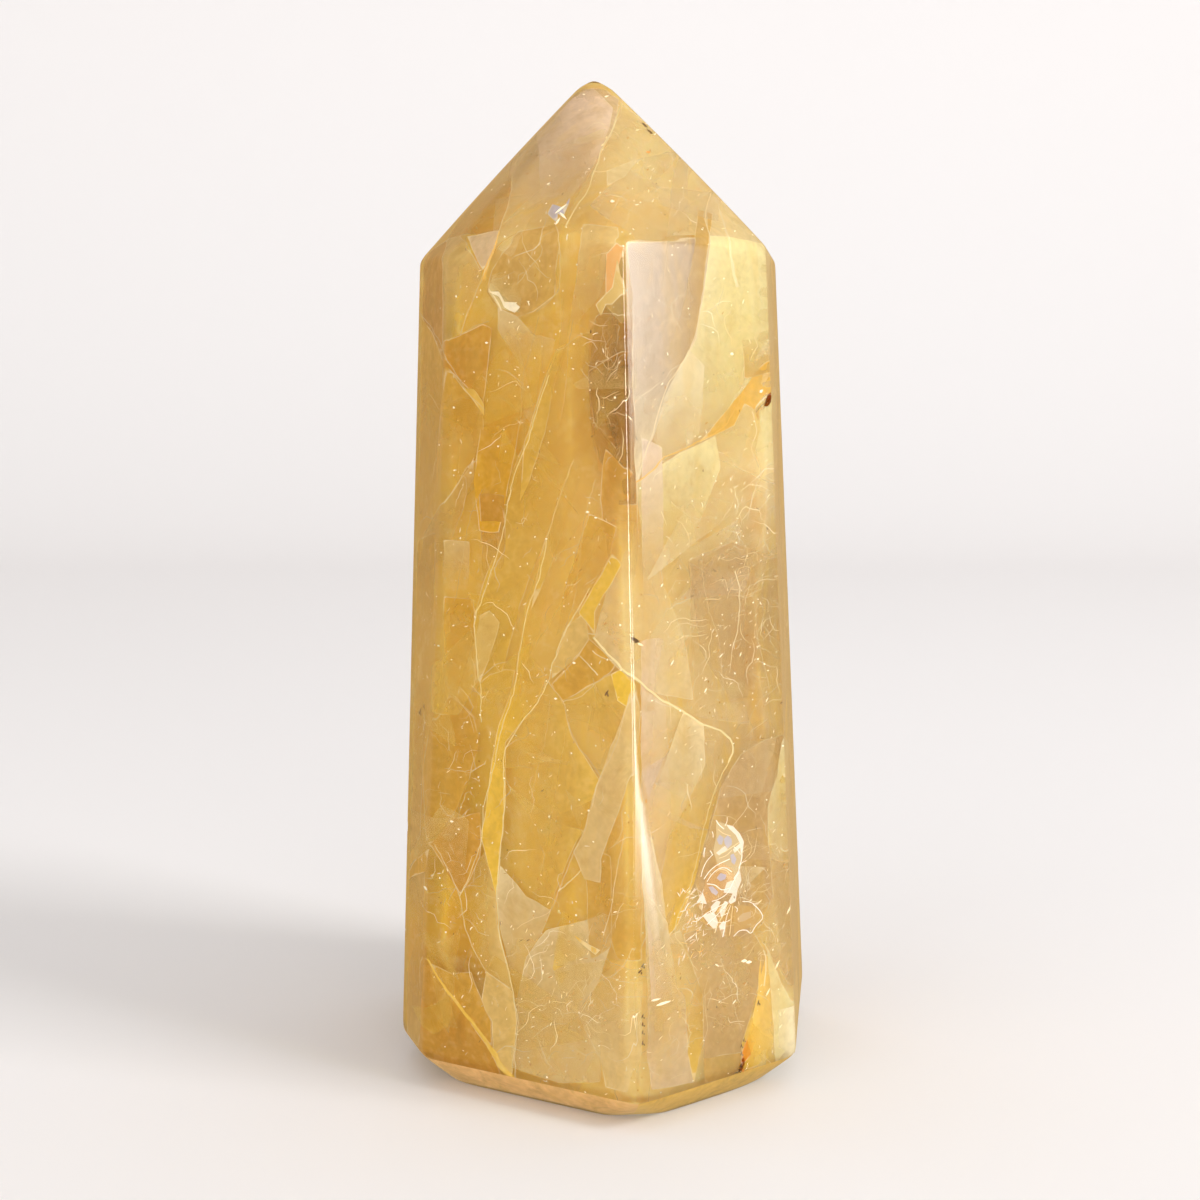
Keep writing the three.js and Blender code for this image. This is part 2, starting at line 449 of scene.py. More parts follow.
def veils():
    """Healed cracks: each point holds as much light as its body says, more at a bright edge."""
    t = Tree("healed_veil")
    body, edge = t.attribute("body"), t.attribute("edge")
    streaks = t.noise(330, 3, 0.65, t.stretched((0.1, 0.3, 0), (1, 1, 0.2)), 0.5)
    patches = t.noise(260, 4, 0.68, None, 0.6)
    fine = t.noise(1300, 1, 0.6)
    colour = t.blotched(t.attribute("tint", "Color"), (
        (patches, 0.5, 0.7, 0.15, STRAW), (fine, 0.5, 0.75, 0.08, MILK),
        (patches, 0.48, 0.32, 0.16, HONEY), (streaks, 0.5, 0.68, 0.25, YELLOW),
    ))
    broken = t.ramp(t.noise(420, 1), 0.36, 0.54)
    line = t.math("MULTIPLY", t.ramp(edge, 0.11, 0.03), broken)
    line = t.math("MULTIPLY", line, t.ramp(body, 0.15, 0.6))
    hold = t.math("MULTIPLY", body, t.ramp(patches, 0.3, 0.62, (0.7, 1.0)))
    hold = t.math("MULTIPLY", hold, t.ramp(fine, 0.3, 0.7, (0.92, 1.04)))
    hold = t.math("ADD", hold, t.math("MULTIPLY", body, t.ramp(edge, 1.4, 0.0, (0, 0.2))))
    hold = t.math("MAXIMUM", hold, t.math("MULTIPLY", line, 0.7))
    return t.surface(t.node("BsdfPrincipled", {
        "Base Color": t.mix(t.math("MULTIPLY", line, 0.6), colour, MILK),
        "Alpha": t.math("MINIMUM", hold, 1.0), "Roughness": 0.5, "Specular IOR Level": 0.0,
    }))


def flecks():
    """Small bright breaks with a painted glow: a faint emission in their own tint stands in for the light
    they catch.
    """
    t = Tree("crack_flecks")
    tint = t.attribute("tint", "Color")
    paler = t.ramp(t.noise(700, 2), 0.45, 0.8, (0, 0.3))
    t.material.cycles.emission_sampling = "NONE"
    return t.surface(t.node("BsdfPrincipled", {
        "Base Color": t.mix(paler, tint, MILK), "Alpha": t.attribute("body"), "Roughness": 0.4,
        "Emission Color": tint, "Emission Strength": 0.22,
    }))


# ---------------------------------------------------------------- laying things in the quartz
# The tower's reach and how much of a depth the surface takes up, read off a table by lay.
TABLE_Z = np.linspace(0, HEIGHT, 251)
TABLE_WAY = np.radians(np.arange(0, 361, 1.5))
TABLE_AT = np.meshgrid(TABLE_WAY, TABLE_Z)[::-1]
SURFACE = np.maximum(tower_reach(*TABLE_AT), 0.05)
PER_DEPTH = np.clip(SURFACE - tower_reach(*TABLE_AT, 1.0), 0.9, 1.8)
RIM = 0.2  # how far from the outline things stay
SIDEWAYS = 96  # degrees round the side to which things are laid
SIDE_FADE = 14  # degrees over which they fade there
CALM = 3.0  # distance from the outline within which edges run straighter
RING = 0.28  # distance of a sheet's second row of points from its edge
END_GAP = 1.2  # least distance of a sheet from the base and the tip
STRIP_FOOT, STRIP_TOP = 0.3, 1.0  # and those of a strip


def heading(degrees):
    return np.array([math.cos(math.radians(degrees)), math.sin(math.radians(degrees))])


def lay(look, across, z, depth):
    """Points at a depth under the surface, where someone who looks from the direction look, in
    degrees, sees them: across from the middle, and z above the base."""
    across, z, depth = np.broadcast_arrays(*(np.asarray(v, float) for v in (across, z, depth)))
    a = math.radians(look)
    ways = a + np.radians(np.arange(-SIDEWAYS, SIDEWAYS + 1, 3.0))
    turn = (ways % TURN) / (TABLE_WAY[1] - TABLE_WAY[0])
    row = np.clip(z / (TABLE_Z[1] - TABLE_Z[0]), 0, len(TABLE_Z) - 1.001)
    low, share = row.astype(int), (row % 1)[:, None]
    left, part = turn.astype(int), turn % 1

    def read(table):
        lower, upper = (
            table[level][:, left] * (1 - part) + table[level][:, left + 1] * part
            for level in (low, low + 1)
        )
        return lower * (1 - share) + upper * share

    out = np.maximum(read(SURFACE) - depth[:, None] * read(PER_DEPTH), 0.02)
    axis_x, axis_y = axis_at(z)
    seen = (axis_x * math.cos(a) + axis_y * math.sin(a))[:, None] + out * np.sin(ways - a)
    found, far = np.empty(len(z)), np.empty(len(z))
    for i, places in enumerate(seen):
        facing = slice(places.argmin(), places.argmax() + 1)
        shown = np.clip(across[i], places.min() + RIM, places.max() - RIM)
        found[i] = np.interp(shown, places[facing], ways[facing])
        far[i] = np.interp(found[i], ways, out[i])
    return on_ring(z, found, far)


def facing_share(look, points):
    """How much of a sheet stays at each point: all of it in front, none round the side."""
    way = np.degrees(np.arctan2(points[:, 0], -points[:, 1])) - look
    return np.clip((SIDEWAYS - np.abs((way + 180) % 360 - 180)) / SIDE_FADE, 0, 1)


def rim_distance(look, points):
    """How far places on the drawing lie from the tower's outline, as seen from look."""
    a = math.radians(look)
    z = np.clip(points[:, 1], 0, HEIGHT)
    x, y = axis_at(z)
    right, left = (tower_reach(z, np.full(len(z), (a + side) % TURN)) for side in (TURN / 4, -TURN / 4))
    across = points[:, 0] - (x * math.cos(a) + y * math.sin(a))
    return np.maximum(np.minimum(right - across, left + across), 0)


def corners(text):
    return np.array([[float(v) for v in pair.split(",")] for pair in text.split()])


def curved(points, step, pull=1.0, closed=False):
    """A curve through the points, with a point every step; the less pull, the straighter."""
    count = len(points)
    out = []
    for i in range(count if closed else count - 1):
        near = range(i - 1, i + 3)
        p0, p1, p2, p3 = (points[k % count if closed else min(max(k, 0), count - 1)] for k in near)
        m1, m2 = (p2 - p0) * 0.5 * pull, (p3 - p1) * 0.5 * pull
        steps = max(2, int(np.linalg.norm(p2 - p1) / step))
        for t in np.arange(steps) / steps:
            h = (2 * t**3 - 3 * t**2 + 1, t**3 - 2 * t**2 + t, 3 * t**2 - 2 * t**3, t**3 - t**2)
            out.append(h[0] * p1 + h[1] * m1 + h[2] * p2 + h[3] * m2)
    return np.array(out if closed else [*out, points[-1]])


def edge_distance(points, outline):
    a, b = outline, np.roll(outline, -1, 0)
    d = b - a
    length = np.maximum((d**2).sum(1), 1e-9)
    t = np.clip(((points[:, None] - a) * d).sum(2) / length, 0, 1)
    return np.sqrt((((a + d * t[:, :, None]) - points[:, None]) ** 2).sum(2)).min(1)


def wobble(p, size, scale, seed):
    return noise.noise(Vector((p[0] * scale, p[1] * scale, seed))) * size


def wobbles(points, size, scale, *seeds):
    """A little unevenness for each point, across and up."""
    return np.array([[wobble(p, size, scale, seed) for seed in seeds] for p in points])


class Sheets:
    """Thin sheets gathered into one mesh, with what their material reads at each point."""

    def __init__(self):
        self.points, self.faces, self.data = [], [], []

    def add(self, points, faces, tint, body, edge):
        start = len(self.points)
        self.points += [tuple(p * MM) for p in points]
        self.faces += [tuple(start + int(i) for i in f) for f in faces]
        for b, e in zip(np.broadcast_to(body, len(points)), np.broadcast_to(edge, len(points))):
            self.data.append((*tint[:3], float(b), float(e)))

    def mesh(self, name):
        mesh = smooth_mesh(name, self.points, self.faces)
        data = np.array(self.data)
        tinted(mesh, data[:, :3])
        for value, column in (("body", 3), ("edge", 4)):
            mesh.attributes.new(value, "FLOAT", "POINT").data.foreach_set("value", data[:, column])
        mesh.update()
        return mesh


def tinted(mesh, tints):
    data = mesh.attributes.new("tint", "FLOAT_COLOR", "POINT").data
    data.foreach_set("color", np.c_[tints, np.ones(len(tints))].ravel())


# Step of the edge, size of its wobble and grid of the middle, for coarse sheets and fine ones.
GRAINS = {False: (0.5, 0.12, 1.1), True: (0.2, 0.05, 0.6)}


def second_row(edge_points):
    """Points a little inside the edge, without those that come too near another stretch of it."""
    ahead, behind = np.roll(edge_points, -1, 0), np.roll(edge_points, 1, 0)
    area = (edge_points[:, 0] * ahead[:, 1] - ahead[:, 0] * edge_points[:, 1]).sum()
    inward = np.stack([behind[:, 1] - ahead[:, 1], ahead[:, 0] - behind[:, 0]], 1) * np.sign(area)
    inward /= np.maximum(np.linalg.norm(inward, axis=1), 1e-6)[:, None]
    ring = edge_points + RING * inward
    return ring[edge_distance(ring, edge_points) > 0.8 * RING]


def veil(sheets, look, tint, strength, depth, fades, outline, dive=0.5, seed=0.0, fine=False):
    """A healed crack or a band of colour: a sheet just under the surface that dives as it fades."""
    step, size, grid = GRAINS[fine]
    edge_points = curved(outline, step, pull=0.1, closed=True)
    calm = np.clip(rim_distance(look, edge_points) / CALM, 0.05, 1)[:, None]
    edge_points += calm * wobbles(edge_points, size, 0.6, seed, seed + 50)
    low, high = edge_points.min(0), edge_points.max(0)
    xs, zs = np.meshgrid(np.arange(low[0], high[0], grid), np.arange(low[1], high[1], grid))
    inner = np.stack([xs.ravel() + grid / 2 * (np.round(zs.ravel() / grid) % 2), zs.ravel()], 1)
    inner = inner[edge_distance(inner, edge_points) > grid * 0.6]
    rows = [edge_points, inner] if fine else [edge_points, second_row(edge_points), inner]
    count = len(edge_points)
    edges = [(i, (i + 1) % count) for i in range(count)]
    found = delaunay_2d_cdt([Vector(p) for row in rows for p in row], edges, [], 1, 1e-4)
    flat = np.array([tuple(p) for p in found[0]])
    faces = [f for f in found[2] if len(f) >= 3]
    if not len(flat) or not faces:
        return
    fade = np.ones(len(flat))
    if fades is not None:
        along = flat @ heading(fades)
        fade = 1 - eased((along - along.min()) / max(np.ptp(along), 1e-6))
    z = np.clip(flat[:, 1], END_GAP, HEIGHT - END_GAP)
    laid = lay(look, flat[:, 0], z, depth + dive * (1 - fade))
    body = strength * fade * facing_share(look, laid)
    sheets.add(laid, faces, tint, body, edge_distance(flat, edge_points))


def ribbon(sheets, look, path, widths, depth, tint, body=1.0):
    """A narrow strip along a path on the drawing, wide as it is told at each point."""
    path = np.asarray(path, float)
    along = np.gradient(path, axis=0)
    along /= np.maximum(np.linalg.norm(along, axis=1), 1e-6)[:, None]
    side = np.stack([-along[:, 1], along[:, 0]], 1) * (np.asarray(widths, float) / 2)[:, None]
    flat = np.concatenate([path + side, path - side])
    n = len(path)
    faces = [(i, i + 1, n + i + 1, n + i) for i in range(n - 1)]
    laid = lay(look, flat[:, 0], np.clip(flat[:, 1], STRIP_FOOT, HEIGHT - STRIP_TOP), depth)
    sheets.add(laid, faces, tint, body * facing_share(look, laid), 1.0)


# ---------------------------------------------------------------- the pieces
# The columns of a facet lie close together near its edges, and the rows near its ends.
HALF = [
    0, 0.0025, 0.0055, 0.009, 0.0135, 0.02, 0.026, 0.033, *np.arange(0.04, 0.16, 0.01), 0.18, 0.24, 0.32, 0.4,
]
COLUMNS = HALF + [0.5] + [1 - v for v in HALF[:0:-1]]
ROWS = (
    (0, 0.06, 0.15, 0.3, 0.5, 0.7, 0.82, 0.92),
    [0, 0.001, 0.003, 0.006, 0.012, 0.025, 0.05, *np.arange(0.08, 0.93, 0.03),
     0.95, 0.97, 0.985, 0.992, 0.9955, 0.9975, 0.999],
    [0, 0.003, 0.008, 0.015, 0.025, 0.04, 0.07, *np.arange(0.1, 0.9, 0.05),
     0.92, 0.945, 0.965, 0.98, 0.99, 0.995, 0.998],
)
INNER_ROWS = (
    (0, 0.25, 0.6),
    [0, 0.02, 0.05, *np.arange(0.08, 0.93, 0.03), 0.95, 0.98],
    [0.02, 0.06, *np.arange(0.1, 0.9, 0.05), 0.93, 0.97, 0.99],
)
CLOUD_DEPTH = 1.25

# The small conchoidal chips of the edges: place, size and turn of the grain each has lost.
CHIPS = [
    ((15.3, -12.3, 68.2), (0.4, 0.8, 1.5), (0, 38, 0)),
    ((-21.0, -5.0, 24.4), (0.6, 0.6, 0.7), (20, 15, 40)),
    ((12.6, -17.9, 3.9), (0.4, 0.5, 0.8), (0, 25, 40)),
]


def add_grain(mesh, place, size, turn):
    """Add a rounded octahedron to a bmesh."""
    angles = Euler([math.radians(v) for v in turn], "ZYX")
    grain = Matrix.LocRotScale(Vector(place), angles, Vector(size))
    for signs in itertools.product((1, -1), repeat=3):
        a, b, c = (Vector(axis) for axis in np.diag(signs))
        ab, bc, ca = ((p + q).normalized() for p, q in ((a, b), (b, c), (c, a)))
        for face in ((a, ab, ca), (ab, b, bc), (ca, bc, c), (ab, bc, ca)):
            made = [mesh.verts.new(grain @ p * MM) for p in face]
            mesh.faces.new(made if math.prod(signs) > 0 else made[::-1])


def chip_away(piece):
    """Cut the lost grains out of a piece."""
    lost = bpy.data.meshes.new("lost_grains")
    welded = bmesh.new()
    for chip in CHIPS:
        add_grain(welded, *chip)
    bmesh.ops.remove_doubles(welded, verts=welded.verts, dist=1e-7)
    welded.to_mesh(lost)
    welded.free()
    cut = piece.modifiers.new("chips", "BOOLEAN")
    cut.operation, cut.solver, cut.object = "DIFFERENCE", "EXACT", link("lost_grains", lost)
    whole = piece.data
    shaped = piece.evaluated_get(bpy.context.evaluated_depsgraph_get())
    piece.data = bpy.data.meshes.new_from_object(shaped)
    piece.modifiers.clear()
    for mesh in (whole, lost):
        bpy.data.meshes.remove(mesh)


outer = add(tower_mesh("quartz_body", 0.0, COLUMNS, ROWS), clear_quartz())
chip_away(outer)
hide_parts("quartz_tower")

# Zones of the cloudy inside: tint, look, across, height, reach sideways and up, and how much
# deeper the cloud lies there.
ZONES = [
    (CREAM, 40, 0, 45, 13, 60, 0.3), (AMBER, 0, 0.5, 68, 3.5, 8, 4.0), (ROSE, 0, 6, 72, 4.5, 11, 3.0),
    (LEMON, 0, 13, 75, 5, 9, 0.5), (ROSE, 0, -6, 90, 6, 7, 1.5), (LEMON, 0, 4, 92, 5, 6, 0.5),
    (TAUPE, 0, 14, 44, 5, 10, 2.5), (BEIGE, 0, 6, 52, 5, 8, 1.0), (DEEP, 0, -10, 62, 3, 9, 0.5),
    (TAN, 0, -18, 55, 3, 30, 0.5), (GOLD, 0, -15, 25, 4, 14, 2.0), (TAUPE, 0, 14, 25, 5, 12, 2.0),
    (BEIGE, 0, 0, 8, 8, 6, 1.0), (AMBER, 0, -16, 8, 5, 8, 1.5), (TAN, 180, 5, 60, 9, 16, 2.5),
    (LEMON, 180, -8, 30, 8, 12, 0.5), (AMBER, 180, 10, 22, 6, 12, 3.0), (ROSE, 110, 0, 45, 8, 14, 2.0),
    (DEEP, 250, 2, 50, 6, 16, 1.0), (HONEY, 0, -12, 0, 10, 3.0, 0), (LEMON, 0, 15, 2, 5, 5, 0.3),
    (HONEY, 120, 0, 0, 20, 4.5, 0), (HONEY, 240, 0, 0, 20, 4.5, 0), (TAN, -90, -6, 50, 10, 45, 0.6),
    (ROSE, -70, 0, 92, 8, 6, 0.3),
]
ZONE_TURN = 2.0  # how softly a zone ends round the side
ROUGHNESS, ROUGH_SCALE = 0.8, 0.09
FULL_DEPTH_FROM = 8.0  # distance from the axis at which the cloud sinks by its whole depth


def cloud_body():
    """The cloudy inside: the tower's own shape, uneven and deeper in some zones."""
    mesh = tower_mesh("inner_cloud", CLOUD_DEPTH, COLUMNS[::3], INNER_ROWS)
    points = np.array([v.co for v in mesh.vertices]) / MM
    tint = np.tile(np.array(GOLD[:3]), (len(points), 1))
    sunk = np.zeros(len(points))
    for colour, look, across, z, wide, tall, deeper in ZONES:
        along, towards = points[:, :2] @ heading(look), points[:, :2] @ heading(look - 90)
        share = np.exp(-(((along - across) / wide) ** 2) - ((points[:, 2] - z) / tall) ** 2)
        share *= 1 / (1 + np.exp(-towards / ZONE_TURN))
        tint += (np.array(colour[:3]) - tint) * np.minimum(share, 1)[:, None]
        sunk += deeper * share
    rough = np.array([noise.fractal(Vector(p * ROUGH_SCALE), 1.0, 2.0, 3) for p in points])
    sunk = np.maximum(sunk + ROUGHNESS * rough, -0.2)
    axis = np.stack(axis_at(points[:, 2]), 1)
    out = points[:, :2] - axis
    far = np.linalg.norm(out, axis=1)
    left = far - sunk * np.clip(far / FULL_DEPTH_FROM, 0, 1)
    points[:, :2] = axis + out * np.clip(left / np.maximum(far, 0.01), 0.3, 1.05)[:, None]
    mesh.vertices.foreach_set("co", (points * MM).ravel())
    tinted(mesh, tint)
    mesh.update()
    return mesh


add(cloud_body(), cloud())

# Veils that show in front: tint, strength, depth, the direction in which it fades (degrees,
# 0 to the right and 90 up; None for none), and its corners, across and height.
FRONT_VEILS = [
    (UMBER, 0.75, 1, None, "-18.5,81.5 -15.5,83 -15.5,72 -17,74.5 -19,77"),  # brown pane at the top left
    (HONEY, 0.75, 0.8, -80,  # tan pane down the left
     "-19,76.5 -17,74.5 -15.5,71.5 -15.5,70 -16,64 -16.5,59 -18.5,54 -19.5,52 -19.5,66"),
    (HONEY, 0.6, 0.9, -90, "-20,51 -18.5,54 -16.5,55 -16.5,47 -18,44.5 -20,46.5"),  # beige strip
    (TAN, 0.7, 0.8, 90,  # rose pane low on the left
     "-20,43.5 -18.5,39.5 -17.5,37 -18,33 -18.5,24.5 -20.5,21 -20.5,33.5"),
    (DEEP, 0.8, 0.6, None, "-17.5,24 -19.5,21.5 -21,18.5 -18,21.5"),  # wedge
    (TAN, 0.65, 0.7, -90, "-21,18.5 -19.5,21.5 -18,23 -18,17 -18,13 -20.5,13.5"),  # tan shard
    (TAN, 0.7, 0.5, 90, "-18.5,15.5 -18,12.5 -18.5,8 -19,3 -20.5,3.5 -20.5,9"),  # pale strip by the edge
    (BEIGE, 0.55, 1.1, -60, "-15.5,83 -14,83 -12,80 -12,79.5 -14,74 -15.5,73.5"),  # yellow-tan pane
    (ROSE, 0.8, 0.5, None, "-13.5,83 -10.5,83.5 -11,81.5 -12,80"),  # pale triangle
    (TAN, 0.75, 1.3, None,  # broken shell patch
     "-11.5,78 -11,80 -10,81.5 -8.5,83 -5,83.5 -4.5,82 -5,79.5 -5,77.5 -7,76 -8.5,75.5 -10.5,76.5"),
    (LEMON, 0.55, 0.7, 40, "-11.5,78 -11,79.5 -9.5,80 -8,78 -8.5,76 -10.5,76.5"),  # glassy lip
    (CREAM, 0.5, 0.9, -80, "-10.5,76.5 -8.5,75.5 -7,74 -5,73.5 -6,70 -8,71 -9,72 -10.5,74.5"),  # pale lens
    (GOLD, 0.7, 0.8, 0,  # yellow band from the shoulder
     "-4.5,83.5 -2.5,83.5 -3,80 -3.5,76 -4,73 -5,70 -6,65 -7.5,60.5 -8.5,58.5 -8,64 -6,70 -5,72 "
     "-4.5,74 -4.5,77 -5,79.5"),
    (BEIGE, 0.6, 1, -80, "-2.5,83.5 0.5,83 0.5,82 -1,77 -2.5,75.5 -4,73 -3.5,76"),  # pane by the front edge
    (BROWN, 0.7, 0.8, 180,  # brown web zone
     "-2,74 -0.5,76.5 1.5,74 1.5,61.5 0.5,60 -1,62.5 -2,67 -2.5,71"),
    (BROWN, 0.6, 0.9, 135,  # brown web zone above
     "-1,76.5 0.5,77 1.5,77 1.5,64.5 0.5,63.5 -1.5,66 -2,70.5"),
    (BROWN, 0.6, 0.7, -135, "-2,70.5 1.5,72.5 1.5,64.5 2,61 0.5,60 -1.5,63.5"),  # brown web zone below
    (PEACH, 0.9, 0.5, None, "-0.5,81 0.5,82 1,81.5 0,77.5 -0.5,77"),  # orange flash
    (WHEAT, 0.85, 0.4, None,  # pale chip by the edge
     "0,78 0.5,80.5 1,77.5 0,76.5 -0.5,76.5 -1,75.5 -1.5,76.5"),
    (AMBER, 0.85, 0.9, None,  # amber pane
     "-15.5,73.5 -14.5,74 -12,75 -11,74.5 -11.5,71 -12,67.5 -13.5,69 -15.5,71"),
    (HONEY, 0.75, 0.7, -110,  # golden pane below it
     "-15.5,71 -13.5,68.5 -12,67 -12,63.5 -13,62 -16,58 -16,64"),
    (YELLOW, 0.65, 0.4, None, "-14,69 -13,69 -12,67.5 -12,66.5"),  # yellow sliver
    (DEEP, 0.95, 0.6, 90,  # deep golden band
     "-10.5,75 -9.5,72.5 -8.5,69.5 -8,67 -8.5,65.5 -9,63 -9.5,60.5 -10.5,55.5 -12.5,55.5 -13,60.5 "
     "-12.5,63.5 -12,67.5 -11.5,71 -11,74.5"),
    (TAN, 0.7, 0.6, -70,  # rose shard
     "-16,58 -13.5,61.5 -13,62.5 -13,60.5 -13.5,59.5 -14,57.5 -14.5,56.5 -16,52.5 -19,49 -18,54.5"),
    (GOLD, 0.7, 0.9, 0,  # great golden panel
     "-6,70 -5,72.5 -2,74 -1.5,68 -1,61.5 1.5,60.5 0.5,56.5 -2,57.5 -5,53 -6,55 -8.5,48.5 -10.5,41.5 "
     "-12.5,40.5 -13,45 -13,47.5 -12.5,49.5 -10.5,54.5 -10.5,55.5 -9.5,60.5 -8,64"),
    (YELLOW, 0.5, 0.6, 10,  # slanting pane
     "-3.5,62.5 -2.5,61.5 -4,57 -5.5,52.5 -7.5,48.5 -6.5,53.5 -5,58.5"),
    (DEEP, 0.55, 0.7, -60,  # golden pane below the sparkling line
     "-2,57.5 0.5,56.5 0,54 -1.5,51 -3,48.5 -5,46 -4,51.5"),
    (BEIGE, 0.55, 0.6, -90, "-16,54.5 -13.5,54.5 -13.5,50 -15,49.5 -16,50"),  # tan pane left
    (STRAW, 0.6, 0.5, None, "-12.5,47.5 -11.5,48 -10.5,47 -11.5,43.5 -12.5,41 -13,45"),  # pale kite
    (GOLD, 0.6, 0.5, -80,  # arched pane
     "-12.5,41 -11.5,42 -10,42.5 -9,42.5 -9.5,40.5 -10.5,37.5 -12.5,37.5"),
    (BRIGHT, 0.85, 0.5, 0,  # long yellow band
     "-6,55 -5,55 -5.5,51.5 -6,49 -6.5,46.5 -7.5,44 -6,42.5 -7,39.5 -8.5,37.5 -10,35.5 -10,33.5 "
     "-10,29.5 -10.5,26 -11,20.5 -12.5,26 -12,29 -11.5,33 -11,36 -10,39 -9,41.5 -8.5,44 -8,48.5 "
     "-7,51.5"),
    (WHEAT, 0.7, 0.7, None, "-4,47 -2.5,48.5 -2,46 -3,44.5 -5.5,42 -5.5,43"),  # tan quadrilateral
    (HONEY, 0.75, 0.8, None, "-2,46 0.5,44 0,43 -1.5,42 -4.5,40 -5.5,41.5 -3,44.5"),  # amber triangle
    (BRIGHT, 0.6, 0.5, None,  # bright yellow wedge
     "0,54 1,53 -0.5,50.5 -1.5,48.5 -1.5,46.5 -3,48.5 -1.5,51"),
    (CREAM, 0.5, 0.4, 60,  # pale shard across the front edge
     "-0.5,50.5 0.5,52 1.5,55 2,59 3.5,53.5 6.5,46 7.5,40 4,41 2.5,42 0,44 -1.5,46 -1,48.5"),
    (BRIGHT, 0.8, 0.5, None, "0,43 1,43.5 2,42 1.5,40 0.5,40.5"),  # yellow corner
    (YELLOW, 0.7, 0.7, -100, "0,43 -4.5,40 -4,38.5 -2.5,36.5 0,36 2,41.5"),  # fan pane
    (YELLOW, 0.85, 0.8, 180,  # big lower panel
     "-6,42 -5.5,41.5 -4.5,40 -4,38 -3.5,36.5 -1,33 -2,29.5 -2.5,28 -3.5,26 -5,22 -5.5,20 -8,18.5 "
     "-9,18 -10.5,18 -11,20.5 -10.5,26 -10,29.5 -10,33.5 -10,35.5 -8.5,37.5 -7,39.5"),
    (DEEP, 0.5, 0.6, 140, "-1,33 -2,29.5 -2.5,28 -5,28.5 -3.5,32"),  # deep spot
    (BEIGE, 0.65, 0.4, None,  # beige shard by the edge
     "2,41.5 2.5,39.5 2,34.5 0,28.5 -1,25.5 -1,23.5 -2.5,23.5 -3.5,26 -2.5,28 -1.5,32 0,36.5"),
    (DEEP, 0.5, 0.8, -90, "-16,49 -13,49 -13,45 -15,39 -16.5,37 -16,44"),  # golden patch left
    (HONEY, 0.6, 1.2, None,  # amber zone low left
     "-15.5,39.5 -13,37.5 -12.5,35.5 -13.5,31.5 -15,28 -17.5,24.5 -18,31 -17,36"),
    (AMBER, 0.85, 0.8, None, "-17.5,24.5 -15,27.5 -12.5,28.5 -12.5,24 -14.5,20"),  # dark amber triangle
    (STRAW, 0.7, 0.6, 180,  # pale panel
     "-12.5,24 -10.5,26.5 -11,20.5 -11,18 -9.5,12 -9.5,10 -12,13 -13.5,15 -14.5,20"),
    (CREAM, 0.8, 0.7, -60,  # yellow panel by the dividing line
     "-10.5,23.5 -11,20.5 -10.5,17 -9.5,13 -9,10.5 -8,13 -6.5,17.5 -5.5,20 -8,21"),
    (CREAM, 0.75, 0.9, -90,  # wide beige panel
     "-6,18 -2.5,19.5 -0.5,20.5 0.5,19.5 -1,14 -3,10.5 -5,8 -9,3 -9,10 -8,15"),
    (AMBER, 0.8, 0.9, None, "-18.5,12 -18,13 -14.5,8.5 -11.5,5 -10.5,3 -14,2.5 -18.5,3"),  # amber foot pane
    (HONEY, 0.8, 0.9, None,  # amber pane right of the vein
     "-17.5,12.5 -15.5,12 -13.5,12.5 -12.5,10 -11.5,8 -11.5,5.5 -14,8 -16,10"),
    (WHEAT, 0.85, 0.5, None,  # pale sparkling shard
     "-12,13 -9.5,11.5 -9,8.5 -9.5,3 -10.5,3.5 -11.5,5.5 -11.5,8 -12.5,10"),
    (BEIGE, 0.75, 0.6, 90,  # pale foot pane
     "-3,10.5 -1,14 0,14.5 1.5,17 2.5,17.5 2.5,7.5 1.5,4 -0.5,4 -1,6.5"),
    (YELLOW, 0.8, 0.4, None, "-3.5,18 -1,17 -1.5,16.5 -3,17.5"),  # small yellow shard
    (SMOKE, 0.9, 1, None,  # smoky pane at the top
     "1,82 8.5,82.5 8.5,79 7.5,73.5 5,69 2,60.5 1.5,68 1.5,77"),
    (LEMON, 0.85, 0.5, -70,  # pale yellow sail
     "9,83 11.5,83 14,82.5 16.5,82 16.5,75 13.5,70.5 12.5,69 10,66 6,63.5 2,60.5 5,68.5 7.5,73.5 8.5,79"),
    (CREAM, 0.6, 0.5, None, "9.5,87.5 8.5,85 9,83 11.5,83 14,82.5 16.5,82 12,85.5"),  # pale sail top
    (ORANGE, 0.65, 0.5, None,  # orange pane
     "17.5,74.5 18,69.5 14.5,68.5 13.5,67 12.5,67.5 11.5,65.5 8,64 12.5,69 13.5,70.5"),
    (STRAW, 0.6, 0.7, -100,  # gold beneath it
     "12.5,67.5 13.5,67 14,65 13.5,63 14,61.5 12,61.5 10,63 8,64"),
    (LEMON, 0.5, 0.5, -90,  # cream-yellow zone
     "14,67 17.5,69 18,63 14.5,61.5 13.5,59 13,56.5 14,61.5 13.5,63 14,65"),
    (STRAW, 0.55, 0.9, -60, "2.5,57 4.5,59 7,57 8,53 6.5,49.5 3.5,50 2.5,53.5"),  # golden patch
    (TAUPE, 0.45, 0.7, -45, "7,53 11,54.5 16,52.5 18,43 15.5,39 11,39.5 8,44.5"),  # milky cloud
    (CREAM, 0.7, 0.6, -90, "2.5,41.5 6.5,39 5.5,37 4.5,35 2.5,34 2.5,37"),  # gold-beige pane
    (ROSE, 0.75, 0.8, None, "2.5,34 4.5,35 3,31 3,31.5"),  # tan wedge
    (CREAM, 0.85, 0.5, -110,  # cream panel
     "6.5,39 8.5,37.5 8.5,33.5 7.5,31.5 5,27.5 4,27.5 3,30.5 4.5,34 5.5,36.5"),
    (GOLD, 0.85, 0.7, 110,  # gold panel right of it
